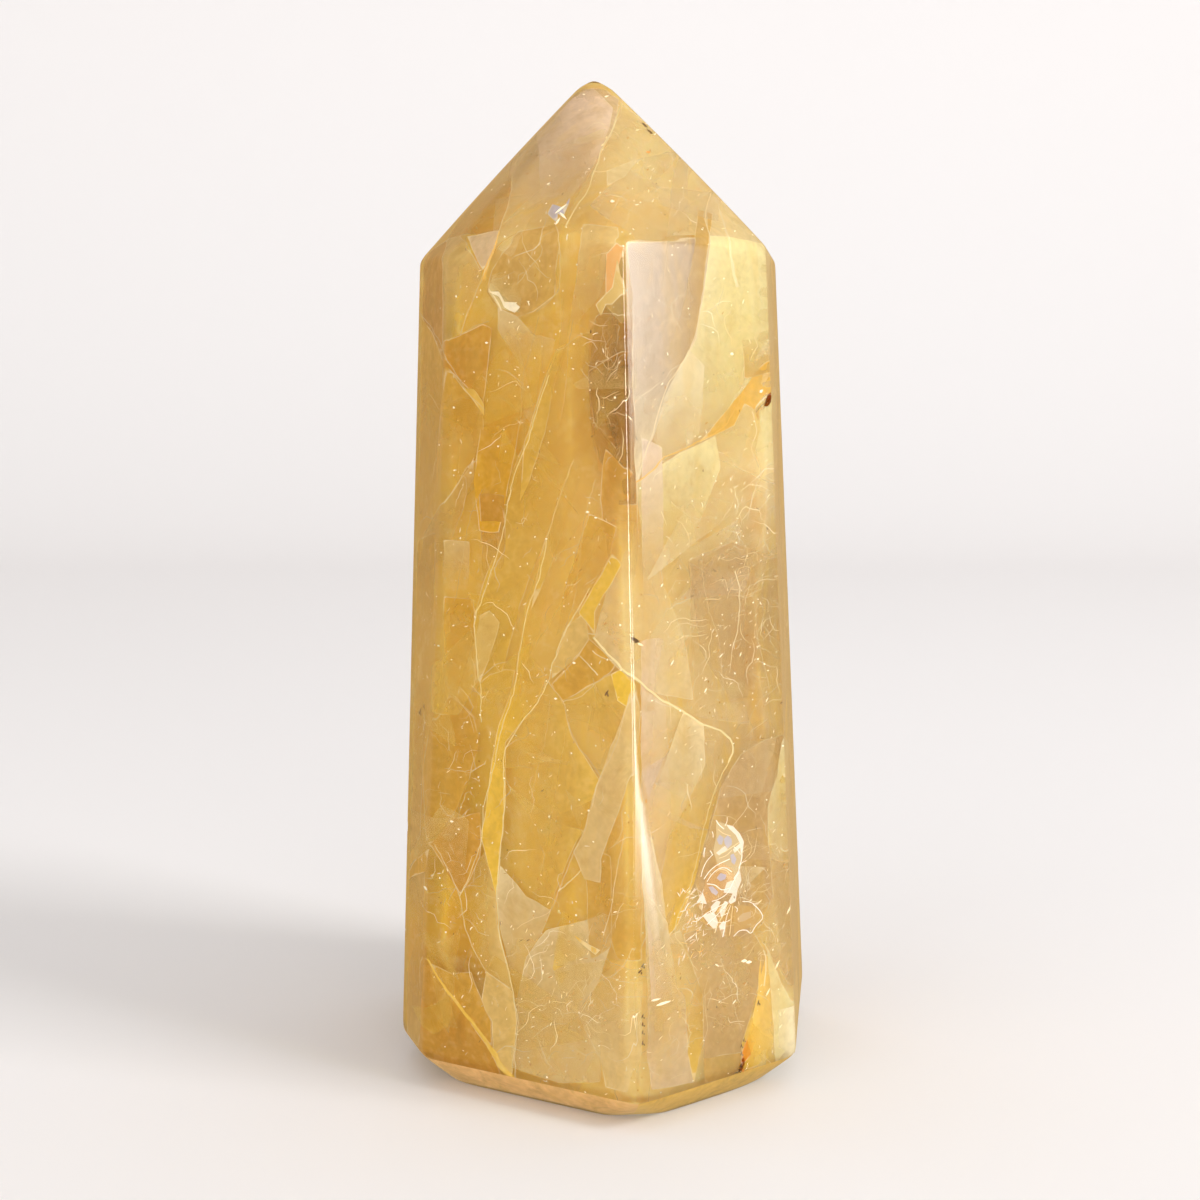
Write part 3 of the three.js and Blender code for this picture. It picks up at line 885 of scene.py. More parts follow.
     "8.5,37.5 10.5,36.5 11.5,35 11,33.5 10,31 9,28 7.5,22.5 6,19 5,18 4,23 5,27.5 5,27.5 7.5,31.5 "
     "8.5,33.5"),
    (TAUPE, 0.75, 1.3, None,  # rose quartz-clear zone
     "12,34 14.5,35 16.5,35 15,28.5 15,24.5 15.5,19.5 12.5,16 8.5,18 7.5,22.5 10,31"),
    (CREAM, 0.7, 0.8, -90, "6,18.5 7.5,15 8,13 6.5,12 4.5,13.5 3.5,17.5 4,22 5,18"),  # pale lower pane
    (GOLD, 0.8, 0.6, 90, "7,12.5 9,12.5 8.5,8 8.5,7 7.5,3.5 7,6.5"),  # yellow wedge low
    (BROWN, 0.6, 0.5, 180, "0,73 1.5,73.5 2,61.5 2,58.5 0.5,58.5 -0.5,65"),  # brown web by the edge
    (BLUSH, 0.5, 0.35, -60,  # pale strip by the edge, upper: painted sheen
     "2.5,64.5 4.5,63.5 4.5,57 4.5,49.5 2.5,46 2.5,53.5"),
    (BLUSH, 0.4, 0.3, 0,  # cool strip beside the edge: painted highlight
     "2.5,46 4.5,46 5,35 5.5,25.5 6,16 5.5,12 3.5,12.5 3,22 2.5,35"),
    (MILK, 0.45, 0.3, -90, "4.5,68 7,72.5 8.5,71 8,65 5,61.5 3,60.5"),  # bright foot of the sail
    (TAN, 0.8, 0.45, 180,  # tan side of the smoky pane
     "8,85.5 9.5,85.5 8.5,80.5 8.5,79 7.5,73.5 5,69.5 4,70.5 6,75.5 7,80 7.5,83"),
    (CREAM, 0.3, 0.4, 90, "-9.5,10.5 -5,13 -1,11.5 -1,4.5 -5,3.5 -9.5,4"),  # pale foot of the face
    (HONEY, 0.45, 0.45, None, "-2.5,26.5 0,26 0,17.5 -2,16"),  # honey beside the beige shard
    (AMBER, 0.7, 0.5, -90, "-12.5,59 -10,59 -10,52.5 -12,50"),  # amber down the vein
    (TAN, 0.6, 0.4, 90, "12,76 15,75.5 15,70.5 12.5,70"),  # tan under the sail's tip
    (MILK, 0.8, 0.3, 180, "15.5,8 18,8 18,3.5 16.5,2.5 15,1"),  # pale corner at the right foot
    (LEMON, 0.5, 0.3, 90, "12,6.5 15,7 15,1 13,0.5"),  # pale yellow above the right foot
    (ROSE, 0.7, 0.7, 90, "3,18.5 4.5,15 6.5,12 7,6.5 7.5,3.5 3.5,4 3,7.5"),  # smoky pane low
    (TAN, 0.7, 0.9, 90, "9,12.5 12.5,13 14,10 12.5,5.5 12,3 8.5,3 8.5,7 8.5,8"),  # gold low right
    (MILK, 0.65, 0.35, -90,  # milky strip along the front edge, low: painted highlight of the worn facet
     "2.5,31.5 3,30.5 3.5,28 4.5,23 5,18 5.5,13 5,10.5 3,10 3,16.5 2.5,26"),
    (CREAM, 0.5, 0.3, -90, "3,23 5,19.5 6,12 5.5,8.5 3,8.5"),  # paler foot of the worn edge: painted highlight
    (CREAM, 0.75, 0.45, 90, "2,60.5 5,68.5 7,73 4.5,74 2,74 1.5,68"),  # pale foot of the smoky pane: painted sheen
    (LEMON, 0.7, 0.5, -90,  # cream pane under the sail
     "2,60.5 6,63 9.5,64.5 10,61.5 7,54.5 4.5,52 2.5,53.5"),
    (BEIGE, 0.75, 0.4, 180,  # shaded end of the sail
     "11.5,83 17.5,82.5 17.5,74.5 14.5,68.5 13,68.5 13.5,74.5 12.5,79"),
    (TAUPE, 0.5, 0.6, None,  # smoky foot on the right
     "6.5,18 13,17.5 15,14 13.5,9 12.5,5 8.5,5.5 8.5,11.5"),
    (AMBER, 0.85, 0.6, -90, "-0.5,63.5 2,61 2,55 1.5,50 0,52.5 -1,59"),  # amber by the front edge
    (HONEY, 0.6, 0.5, 90, "0,28.5 2,31.5 2.5,26 2.5,16.5 0.5,16.5 -1,22"),  # golden by the front edge, low
    (TAUPE, 0.55, 0.5, 180,  # rosy pane on the right
     "12.5,59.5 18.5,62.5 19,46.5 18,39 16.5,33 13.5,35.5 12.5,45"),
    (TAUPE, 0.7, 0.5, 180, "13.5,24.5 20,20 19.5,9.5 18,9 15,14.5 13,17"),  # smoky pane on the right
    (TAUPE, 0.35, 0.5, -90, "7,53 12.5,49 12.5,39.5 10,36.5 7.5,40"),  # rosy pane in the middle right
]
VEIL_GAIN = 1.08  # share of the strengths in the table that the veils are given
front = Sheets()
for number, (tint, strength, depth, fades, outline) in enumerate(FRONT_VEILS):
    held = min(VEIL_GAIN * strength, 1)
    veil(front, 0, tint, held, depth, fades, corners(outline), seed=number * 3.1)
dice = random.Random(11)

# Faint flat cracks that cross one another between those: across from and to, height from and
# to, how many, and their tints.
GHOSTS = [
    (-19, 1, 2, 80, 40, (GOLD, YELLOW, YELLOW, STRAW, DEEP, BRIGHT)),
    (4, 18, 2, 72, 26, (CREAM, MILK, ROSE, ROSE)),
    (-10, 10, 82, 96, 9, (CREAM, ROSE)),
]
TOP = 97.0  # the height up to which random things are laid


def kept_in(points, left, right, bottom, top=TOP):
    """Points on the drawing, held inside a rectangle."""
    return np.clip(points, (left, bottom), (right, top))


def slanted(across, z, slant, sizes):
    """Corners round a middle: for each turn, how far along a slant and how far aside."""
    along = heading(slant)
    side = np.array([-along[1], along[0]])
    reaches = [along * math.cos(t) * length + side * math.sin(t) * wide for t, length, wide in sizes]
    return np.array([across, z]) + reaches


for left, right, bottom, top, count, tints in GHOSTS:
    for number in range(count):
        across, z = dice.uniform(left, right), dice.uniform(bottom, top)
        slant = dice.gauss(72, 9) if dice.random() < 0.65 else dice.gauss(-35, 22)
        length, wide = dice.uniform(3, 11), dice.uniform(1.2, 4.5)
        turns = sorted(dice.uniform(0, TURN) for _ in range(dice.choice((3, 4, 4, 5))))
        outline = slanted(across, z, slant, [(t, length, wide) for t in turns])
        outline = kept_in(outline, left - 1, right + 1, 1.5)
        veil(front, 0, dice.choice(tints), dice.uniform(0.2, 0.42), dice.uniform(0.3, 1.0),
             dice.uniform(-180, 180), outline, dive=0.3, seed=number * 2.3)
veil_look = veils()
add(front.mesh("front_veils"), veil_look, False)

SIDE_TINTS = (GOLD, YELLOW, YELLOW, HONEY, AMBER, BEIGE, STRAW, BRIGHT, DEEP, TAN)


def loose_veils(name, look, count, left, right, top):
    """Random veils over a side that the photo doesn't show."""
    sheets = Sheets()
    for number in range(count):
        across, z = dice.uniform(left, right), dice.uniform(4, top)
        length, wide = dice.uniform(6, 17), dice.uniform(2, 5.5)
        slant = dice.uniform(55, 95) if dice.random() < 0.75 else dice.uniform(0, 180)
        sizes = []
        for k in range(dice.choice((4, 5, 6, 7))):
            turn = TURN * (k + dice.uniform(-0.25, 0.25)) / 6
            sizes.append((turn, length * dice.uniform(0.7, 1.1), wide * dice.uniform(0.7, 1.2)))
        outline = kept_in(slanted(across, z, slant, sizes), left - 1, right + 1, 1.0)
        tint, strength = dice.choice(SIDE_TINTS), dice.uniform(0.4, 0.75)
        fades = dice.uniform(-180, 180) if dice.random() < 0.7 else None
        veil(sheets, look, tint, strength, dice.uniform(0.4, 1.1), fades, outline, seed=number * 1.7)
    add(sheets.mesh(name), veil_look, False)


loose_veils("right_veils", 105, 32, -10, 17, 88)
loose_veils("back_veils", 170, 44, -19, 19, 90)
loose_veils("left_veils", 238, 32, -17, 9, 88)

# Stains, and the panes of the upper facets, in the same terms as the front veils.
STAINS = [
    (LEMON, 0.6, 0.6, None,  # milky right corner of the foot
     "15,14.5 17.5,8.5 18.5,5.5 18,4.5 16,3 15.5,9.5"),
    (SUN, 0.85, 0.5, 0,  # cream cone of the stain
     "14.5,14.5 16,12 17.5,7 18,5 16,2.5 12.5,2.5 12.5,5 13.5,8 14,10"),
    (BRIGHT, 0.6, 0.4, 10, "14.5,11.5 15.5,9 16,6.5 15,3.5 12.5,3 12.5,6 13.5,8.5"),  # yellow heart
    (ORANGE, 0.9, 0.35, 10, "14,9 15,7.5 14,5 13.5,2 12,3 12.5,5 13.5,7.5"),  # orange glow of the edge
    (RUST, 0.9, 0.25, 12, "13.5,7.5 14,7 13.5,4.5 12.5,3.5 13,2.5 12.5,3 12.5,5"),  # iron-red edge
    (BRIGHT, 0.95, 0.5, -90,  # yellow stain on the right side
     "19,39.5 19.5,38.5 20,30 20,24.5 16,29 16.5,33.5 17,36.5"),
    (LEMON, 0.6, 0.5, -80,  # pale foot of that stain
     "16.5,35 20,28.5 20.5,19 17,24 16,23 15,25 15,28.5 16,31.5"),
    (CREAM, 0.45, 0.4, None, "-0.5,89 1,90 3,91 2,90 1,88.5 -0.5,87.5"),  # pale feather in the cap
    (ROSE, 0.85, 1.2, -100,  # rose half of the cap
     "-9,93 -5,96.5 -2,99.5 0.5,97.5 0,94 -1,90.5 -3.5,86 -4.5,83.5 -10.5,82.5 -9.5,86.5"),
    (AMBER, 0.6, 1, 120, "-9,92.5 -9.5,86.5 -10.5,83 -15.5,83 -14,86"),  # amber pane of the cap
    (BEIGE, 0.5, 0.8, -60,  # lemon half of the cap
     "1,97 4,94 7.5,90.5 6.5,86.5 3.5,87.5 0.5,85.5 -1,82 -4.5,83.5 -2.5,87.5 -1,90.5"),
    (CREAM, 0.6, 0.9, 160, "4,87.5 9.5,87.5 8.5,85 9,83 1,82 0.5,85"),  # tan corner of the cap
    (HAZE, 0.8, 0.3, None,  # violet flash in the cap
     "-6,85 -5.5,86 -4.5,85.5 -4,86.5 -4,86 -4.5,84.5 -5,85 -5,84"),
    (SPARK, 0.8, 0.3, None,  # white lip of the shell
     "-11.5,78 -10.5,77.5 -10,76.5 -9,76 -8.5,76.5 -9,77 -10,77 -10.5,78"),
    (BLUSH, 0.8, 0.7, -100, "-7,95 -2,99 0,96.5 -1,90.5 -3.5,86 -6.5,85"),  # lavender wash in the cap
    (TAUPE, 0.5, 0.5, -90, "-3.5,98 -2,99.5 0,98 -1,97.5 -3,96"),  # orange tip
]
stains = Sheets()
for number, (tint, strength, depth, fades, outline) in enumerate(STAINS):
    veil(stains, 0, tint, strength, depth, fades, corners(outline), dive=0.4, seed=40 + number)
add(stains.mesh("iron_stains"), veil_look, False)

# Painted light on the bevel: a pale sheet under each of its seven stretches, tinted stretch by stretch to
# paint the light the bevel takes in from the floor, palest on the right-hand stretch, which lies in shade.
BEVEL_LIGHT_TINTS = (TAN, TAN, APRICOT, SUN, MILK, HONEY, GOLD)
BEVEL_COLUMNS, BEVEL_ROWS = 16, 4
BEVEL_DEPTH, BEVEL_STRENGTH = 0.2, 0.9
painted_bevel_light = Sheets()
for index, tint in enumerate(BEVEL_LIGHT_TINTS):
    rows = []
    for z in np.linspace(0.3, BEVEL - 0.15, BEVEL_ROWS):
        way = between_corners(bevel_facet, index, z, np.linspace(0, 1, BEVEL_COLUMNS))
        level = np.full(BEVEL_COLUMNS, z)
        rows.append(on_ring(level, way, tower_reach(level, way) - BEVEL_DEPTH))
    faces = [
        (start + c, start + c + 1, start + c + 1 + BEVEL_COLUMNS, start + c + BEVEL_COLUMNS)
        for start in range(0, (BEVEL_ROWS - 1) * BEVEL_COLUMNS, BEVEL_COLUMNS)
        for c in range(BEVEL_COLUMNS - 1)
    ]
    painted_bevel_light.add(np.concatenate(rows), faces, tint, BEVEL_STRENGTH, 1.0)
add(painted_bevel_light.mesh("bevel_painted_sheen"), veil_look)

# Seams: the bright edges of the healed cracks. Tint, width at the start and at the end, depth,
# strength and path.
SEAMS = [
    (LEMON, 0.45, 0.4, 0.25, 0.95,  # seam across the front
     "-1.75,46.25 0.25,44.25 2.25,42.5 4,40.75 6.25,39.25 8.5,37.5 10.5,36.5 11.5,35 11,33.5"),
    (LEMON, 0.2, 0.12, 0.25, 0.7,  # seam going on down
     "11,33.5 9.75,31.25 8.75,28.25 7.25,22.5 5.75,18.75 6.75,16.5 7.5,15 8,14.25"),
    (CREAM, 0.2, 0.2, 0.2, 0.9,  # edge of the pale sail
     "9.5,87.75 8.75,85 9,83 8.5,79 7.5,73.5 6,70.75 4.75,68.75 3.5,64.75 2,60.75"),
    (ORANGE, 0.32, 0.18, 0.3, 0.9,  # orange line under the sail
     "2,60.5 3.5,61.5 4.75,62.75 6.25,63.25 8.25,64.25 10.5,65.5 12.5,68.75"),
    (LEMON, 0.2, 0.2, 0.25, 0.8,  # long seam
     "-5.75,70.25 -7,66.75 -7.75,64.25 -9.25,60.5 -10.25,55.5 -11,53 -12.25,49.25 -13,47.25 -13,45.25 "
     "-12.75,42 -12.5,40.5 -12.5,37.25"),
    (LEMON, 0.2, 0.2, 0.25, 0.8,  # second seam
     "-6,55 -6.75,51.5 -7.75,48.75 -8.75,44 -9,41.5 -9.75,39 -10.75,35.75 -11.25,33 -12.25,29 -12.5,26 "
     "-13.5,22.75 -14.75,20"),
    (LEMON, 0.18, 0.25, 0.25, 0.85,  # third seam
     "-2,50.75 -3.25,48.5 -4.5,46.25 -5.5,43.5 -6,41.75 -7,39.75 -8.75,37.25 -9.75,35.5 -10.25,34 "
     "-10.25,29.25 -10.75,23.5 -11,20.5 -10.75,17 -9.75,13 -9.25,10.25"),
    (CREAM, 0.2, 0.2, 0.2, 0.85, "-9.25,10.25 -9,8.5 -9.25,5.75 -9.25,2.75"),  # dividing line at the foot
    (CREAM, 0.2, 0.2, 0.25, 0.85,  # seam of the lower panel
     "-17.25,24.75 -16,22.5 -14.75,20 -14.25,17.25 -13.25,14.75 -12,13 -9.75,11.75"),
    (BRIGHT, 0.4, 1.3, 0.35, 0.9,  # yellow vein at the foot
     "-18,13 -16.5,10.75 -14.5,8.75 -12.75,6.75 -11.5,5.25 -10.5,3.75 -9.5,3"),
    (CREAM, 0.1, 0.15, 0.3, 0.8, "-15.5,39.75 -14,38.5 -13,37.5"),  # crack to the vein
    (CREAM, 0.15, 0.15, 0.3, 0.8,  # line down the cap
     "-9,93 -9.5,89 -9.75,86.5 -10.75,82.75 -11.75,80 -13.5,76.25 -14.25,74"),
    (LEMON, 0.2, 0.25, 0.25, 0.85,  # edge of the yellow half of the cap
     "1,97.25 0.5,95.75 0,94 -0.75,92.25 -1.25,90.5 -2.25,87.25 -3.5,85.25 -4.25,83.5"),
    (MILK, 0.12, 0.9, 0.4, 0.6, "10,87 10.75,83.25 11.25,80.25 11.75,78.5"),  # white wedge in the sail
    (MILK, 0.3, 0.12, 0.5, 0.7, "11.5,51.75 12,50 12,48 11.75,45.75 11.25,43.75 11,42"),  # white wisp
    (CREAM, 0.15, 0.15, 0.3, 0.8,  # side of the fan
     "-6,41.75 -5.25,41 -4.5,40 -4,38 -3.25,36.25 -2,34.75 -1,33.25"),
    (CREAM, 0.15, 0.12, 0.3, 0.8, "-4.5,40 -2.75,40.75 -1.5,42 0,43.25"),  # foot of the amber triangle
    (CREAM, 0.15, 0.15, 0.3, 0.8,  # edge of the beige shard
     "1.75,41.5 0.25,36.25 -1.5,32.25 -2.5,28.25 -3.5,26 -5,22 -5.75,20 -7.75,18.75 -9,17.75"),
    (SOOT, 0.2, 0.1, 0.15, 0.75, "13.75,66.75 14.75,67.75 17.25,69.25"),  # dark fissure
    (MILK, 0.2, 0.12, 0.12, 0.9, "13.75,67.25 14.5,68 16,69 18,69.75"),  # lip of the fissure
    (CREAM, 0.25, 0.15, 0.25, 0.85, "13.25,66.75 13.75,65 13.25,63.25 14,61.5"),  # wiggling edge
    (CREAM, 0.15, 0.15, 0.25, 0.8,  # edge of the cream zone
     "18.25,63 14.75,61.5 13.5,59 13,57.25 12.25,56.5"),
    (CREAM, 0.12, 0.1, 0.25, 0.8,  # top edge of the amber pane
     "-15.5,73.5 -14.25,74 -13,74.75 -11.5,75.25"),
    (CREAM, 0.15, 0.15, 0.25, 0.8,  # edge on the narrow side
     "-19.25,76.75 -17.75,75.25 -17,74.25 -16.25,73.25 -15.5,71.5 -14.5,70 -13.75,68.75 -12,67"),
    (ORANGE, 0.25, 0.9, 0.3, 0.95,  # orange vein at the shoulder
     "-10.5,83.5 -10.75,82.5 -11,81.75 -11.5,80.75 -12,79"),
    (AMBER, 0.3, 0.1, 0.25, 0.8, "-11,81.5 -10.5,82.25 -9.75,82.75 -8.75,83.25"),  # its brown branch
    (MILK, 0.25, 0.3, 0.3, 0.8, "14.75,14.5 15,12.75 14.75,11"),  # crease by the stain
    (CREAM, 0.12, 0.12, 0.3, 0.7, "-3.5,62.5 -4.25,60.5 -5,58.5 -5.75,56 -6.75,53.25"),  # golden shard line
    (MILK, 0.1, 0.1, 0.3, 0.8, "-2.5,57.75 -2,57.5 -0.75,57 0.5,56.5"),  # sparkling line
    (MILK, 0.12, 0.3, 0.35, 0.8, "-3,44.5 -2.25,43.75 -1.25,42.75"),  # crack of the triangle
    (MILK, 0.2, 0.12, 0.35, 0.8, "-1.75,45 -1,44.5 0,44.25"),  # crack across it
    (CREAM, 0.12, 0.1, 0.35, 0.7, "-3.25,44.25 -4,43.25 -5.25,41.75"),  # crack down from it
    (MILK, 0.3, 0.12, 0.4, 0.6, "-5,22 -3.5,23.5 -2.75,24.5"),  # feather
    (CREAM, 0.12, 0.12, 0.3, 0.7, "-13.75,83 -13,81.25 -12.25,80"),  # edge at the cap's left
    (MILK, 0.2, 0.25, 0.3, 0.85, "-11.5,78.25 -10.75,77.25 -10.25,76.25"),  # shell edge
    (CREAM, 0.15, 0.12, 0.3, 0.7, "-4.75,82.25 -4.75,79.75 -5,77.75 -7,76"),  # right seam of the shell
    (CREAM, 0.15, 0.15, 0.3, 0.7, "-16,58 -14.75,59.75 -13.75,61.5 -12.75,62.25"),  # edge of the left panel
    (MILK, 0.12, 0.2, 0.35, 0.6, "1.25,28.25 0.5,25 0,21.5 -0.75,18.5"),  # soft white line low
    (CREAM, 0.12, 0.15, 0.3, 0.7,  # edge of the foot pane
     "-3,10.5 -2,12.5 -1,14.25 0,14.75 1.25,16.25 2,17.75"),
    (CREAM, 0.12, 0.12, 0.3, 0.7, "8.25,7 9,8.25 8.75,10.75 8.75,12.25"),  # line at the right foot
    (MILK, 0.1, 0.1, 0.3, 0.6, "1.25,78.25 3,77.75 4.5,76.75 6.25,75.75"),  # fine line upper right
    (CREAM, 0.08, 0.08, 0.3, 0.6, "-4.75,45.75 -3.5,49.5 -3,53.25 -2.5,57 -1.5,60.75"),  # long fine crack
]
# Scratches in the polish: width at the start and at the end, strength and path.
SCRATCHES = [
    (0.12, 0.05, 0.7, "1.75,76.25 2.5,77.25 3.5,78"),
    (0.1, 0.05, 0.6, "2,75.5 3.25,76.75 4,77.5"),
    (0.12, 0.05, 0.7, "1.75,74.25 2.75,75.5 3.5,76.25"),
    (0.1, 0.05, 0.6, "2.5,73.75 3.5,74.75 4.25,75.5"),
    (0.1, 0.05, 0.6, "3,77 3.75,77.75 5,78.75"),
    (0.12, 0.06, 0.7, "3.25,72.25 3.75,73.25 4.5,73.75"),
    (0.08, 0.05, 0.6, "3.75,76 5,77 5.75,77.75"),
]
# Fine cracks under the surface: tint and path.
FINE_CRACKS = [
    (CREAM, "-8.5,66 -8.25,69.75 -7.5,72.5 -6.75,75.5"),
    (CREAM, "-4.75,66 -4.25,68.75 -4,72.5 -3.5,75.25"),
    (CREAM, "-15,48.75 -14.25,52.75 -13.5,56.5 -12.25,59.5"),
    (CREAM, "-7.75,28.5 -7.25,32.25 -6.25,36.25 -5.75,40"),
    (CREAM, "2.5,26 1.5,23.25 0,19.25 -1.25,16.25"),
    (CREAM, "7.25,10.75 7.75,12.5 9,15 10.75,17.5"),
    (MILK, "10.25,14.75 11.25,12 11.75,9.5 12.5,7.25"),
    (MILK, "12.75,52.75 13.5,48.75 14,45 15.25,40"),
    (MILK, "8.25,53 8.75,49.25 10,45.25 10.5,40.5"),
]
SEAMS += [(MILK, width, end, 0.2, strength, path) for width, end, strength, path in SCRATCHES]
SEAMS += [(tint, 0.07, 0.07, 0.3, 0.6, path) for tint, path in FINE_CRACKS]
SEAM_STEP = 0.4
SEAM_STRAY, STRAY_SCALE = 0.12, 1.3  # how far a seam strays from its path, and how quickly
SEAM_WIDTH, SEAM_BODY = 0.5, 0.7  # shares of the widths and strengths in the tables
seams = Sheets()
for tint, start, end, depth, strength, path in SEAMS:
    path = curved(corners(path), SEAM_STEP)
    path = path + wobbles(path, SEAM_STRAY, STRAY_SCALE, start, end + 9)
    uneven = 0.7 + 0.6 * np.abs(wobbles(path, 1, 0.9, 3)[:, 0])
    widths = SEAM_WIDTH * np.linspace(start, end, len(path)) * uneven
    ribbon(seams, 0, path, widths, depth, tint, SEAM_BODY * strength)
glowing_fleck_look = flecks()
add(seams.mesh("healed_seams"), glowing_fleck_look, False)

FLAKE_STEPS = np.array((-0.5, -0.2, 0.15, 0.5))
FLAKE_WIDTHS = np.array((0.25, 1.0, 0.85, 0.15))


def flake(sheets, look, tint, across, z, length, width, turn, depth, bend=0.0, body=1.0):
    """A tapering chip of light or dark, bent a little."""
    along = heading(turn)
    side = np.array([-along[1], along[0]])
    path = np.array([across, z]) + np.outer(FLAKE_STEPS, along) * length
    path += np.outer(0.25 - FLAKE_STEPS**2, side) * bend * length
    ribbon(sheets, look, path, width * FLAKE_WIDTHS, depth, tint, body)


# Specks of soot-dark mineral and bright flakes: tint, and the place, length, width and turn of
# each. A dark one has a smaller one across it.
SPECKS = [
    (SOOT,
     "2,46.25,0.9,0.4,-30 -0.5,41.25,0.7,0.25,60 -19,37,0.9,0.2,65 -18.5,37.75,0.5,0.15,65 "
     "2.75,16,0.5,0.25,60 2.5,15.5,0.5,0.25,40 2.75,11.25,0.4,0.2,70 2.75,10.5,0.4,0.2,80 "
     "2.75,9.75,0.4,0.2,80 2.75,8.75,0.5,0.2,80 14.25,9.5,0.6,0.2,75 12.75,6.25,0.4,0.2,70 "
     "12.5,5.75,0.4,0.2,70 12.5,5,0.4,0.2,70 12.5,3.75,0.5,0.3,60 12.25,3.25,0.5,0.3,30 "
     "3.25,95,0.7,0.3,-40 3.75,94.25,0.7,0.3,-30"),
    (MILK,
     "2.5,45.75,0.6,0.3,-30 3.5,95.25,0.4,0.2,30 4.25,94,0.4,0.2,30 2.5,94.25,0.4,0.2,30 "
     "12.25,43.75,0.5,0.2,70 15,39,0.5,0.2,60 17.5,18,1.2,0.3,60 16.25,12.75,0.9,0.3,60 "
     "15.25,10.25,0.8,0.3,60"),
    (RUST, "3.5,91.75,0.4,0.3,0"),
    (SPARK,
     "4,12.5,0.9,0.3,0 4.75,12,1.4,0.4,5 -2.25,57.75,0.3,0.3,0 -1.5,57.25,0.3,0.2,0 "
     "11.25,72.25,0.3,0.5,80 14.25,68.75,0.4,0.4,45 -0.5,98,0.5,0.3,30 -1.75,99.75,0.4,0.3,0 "
     "-2.75,98.25,0.3,0.2,0 -4.75,85.5,1.4,0.3,40 -4.5,84.75,1,0.3,-50 -5,84.25,0.8,0.3,60 "
     "-6,88.25,0.4,0.2,30 0,86,0.4,0.4,0 -5.25,40.25,0.3,0.3,0 4.5,51,0.4,0.2,60 "
     "8.75,40.75,0.5,0.2,60 5.5,43.75,0.6,0.2,60 -3.5,43.75,0.3,0.3,0 -11.75,73.25,0.3,0.3,0 "
     "-3.5,73,0.2,0.2,0 -15,61.25,0.2,0.2,0 -15.5,27.25,0.4,0.3,0 -18.25,20,0.3,0.8,85 "
     "12.75,14,0.3,0.9,80 13.25,13.75,0.3,0.9,80 11.75,10.25,0.5,0.2,45 10,14.25,0.5,0.2,-40"),
]
SPECK_WIDTH, SPECK_DEPTH = 0.7, 0.15
specks = Sheets()
for tint, rows in SPECKS:
    for across, z, length, width, turn in corners(rows):
        flake(specks, 0, tint, across, z, length, width * SPECK_WIDTH, turn, SPECK_DEPTH)
        if tint is SOOT:
            flake(specks, 0, tint, across + 0.12, z - 0.2, length * 0.5, width * 0.6, turn + 35, 0.2)
add(specks.mesh("mineral_specks"), glowing_fleck_look, False)

# The fan-shaped crack that flashes like foil, low on the front right: its plates (tint, strength and
# corners), its bright ribs (tint, width at the start and at the end, and path), and the glints scattered over
# it. The white GLARE plates and ribs and the glints are painted reflection, the flash of light off the crack.
FOIL_PLATES = [
    (CREAM, 0.6,  # peach glow
     "9.7,28 10.8,27.5 12.1,26.4 12.4,25.3 12.4,24 12.1,22.6 11.2,21.9 10.1,23.1 9.4,25.3 9.7,26.7"),
    (PEACH, 0.4,  # gold under the middle
     "8.6,22.3 8.9,23.4 10.2,24 11.4,23 11.6,21.5 10.4,20.8 9,20.3 8.3,20.9"),
    (HONEY, 0.5, "8,19 9,19.8 11.5,20 11.6,16.5 10.5,16.8 9,18.1"),  # gold of the fan
    (GLARE, 0.9,  # white rim above
     "10.7,27.5 11.4,27.2 12.1,26.4 12.5,25.5 12.4,24.5 12.2,24.5 12.1,25.4 11.7,26.3 11,27"),
    (GLARE, 0.85, "11.4,25 12.3,25.5 12.4,25.2 11.6,24.6"),  # slab
    (GLARE, 0.8, "9.7,25 10.6,25.5 10.9,25.1 10,24.7"),  # slab below
    (GLARE, 0.9,  # white knot
     "10.8,21.9 11.5,22 12.1,22.9 12.3,21.8 11.9,20.9 11.7,19.9 11.2,19.7 11,20 11.4,20.7 10.5,21"),
    (GLARE, 0.9, "8.4,19.3 9.5,19.4 9.9,18.4 9.8,17.4 9.1,18.2"),  # fan blade
    (GLARE, 0.85, "9.2,19.9 9.8,20.4 10.2,20.2 9.8,19.5 9.4,19.2"),  # second blade
    (GLARE, 0.85, "10.1,19.4 10.6,20.2 10.9,20 10.6,18.9 10.3,18.6"),  # third blade
    (GLARE, 0.9, "10,17.9 10.5,18.3 10.7,18.1 10.6,16.8 10.4,16.8"),  # tip of the fan
    (GLARE, 0.9, "7.8,20.7 8.4,21.5 8.8,20.3"),  # triangle at the left
    (CREAM, 0.8, "8,20.4 8.4,20.4 8.4,19.9 8.1,20"),  # pale square
    (HAZE, 0.8, "9.8,26.3 10.1,26.7 10.5,26.3 10.3,25.7 10,25.8"),  # haze one
    (HAZE, 0.85, "10.5,26.2 10.9,26.5 11.3,26 11.3,25.5 10.9,25.2 10.6,25.7"),  # haze two
    (HAZE, 0.85, "11.2,24.5 11.5,24.6 11.8,24 11.6,23.5 11.3,23.8"),  # haze three
    (HAZE, 0.85, "9.8,22.6 10.2,23 10.8,22.7 10.7,22.3 10.2,22.2"),  # haze four
    (HAZE, 0.85, "9,21.9 9.4,21.9 10,21.2 9.8,20.9 9.3,21.3"),  # haze five
    (TAN, 0.6, "11.6,19.4 12.5,19.5 13.7,18.9 14.4,17.9 13.6,17.1 12.5,17 11.6,16.8"),  # dull plate
    (ROSE, 0.6, "11.9,18.2 12.5,18.6 13.4,18.6 13.3,18 12.7,17.8 12.1,17.8"),  # dull haze
]
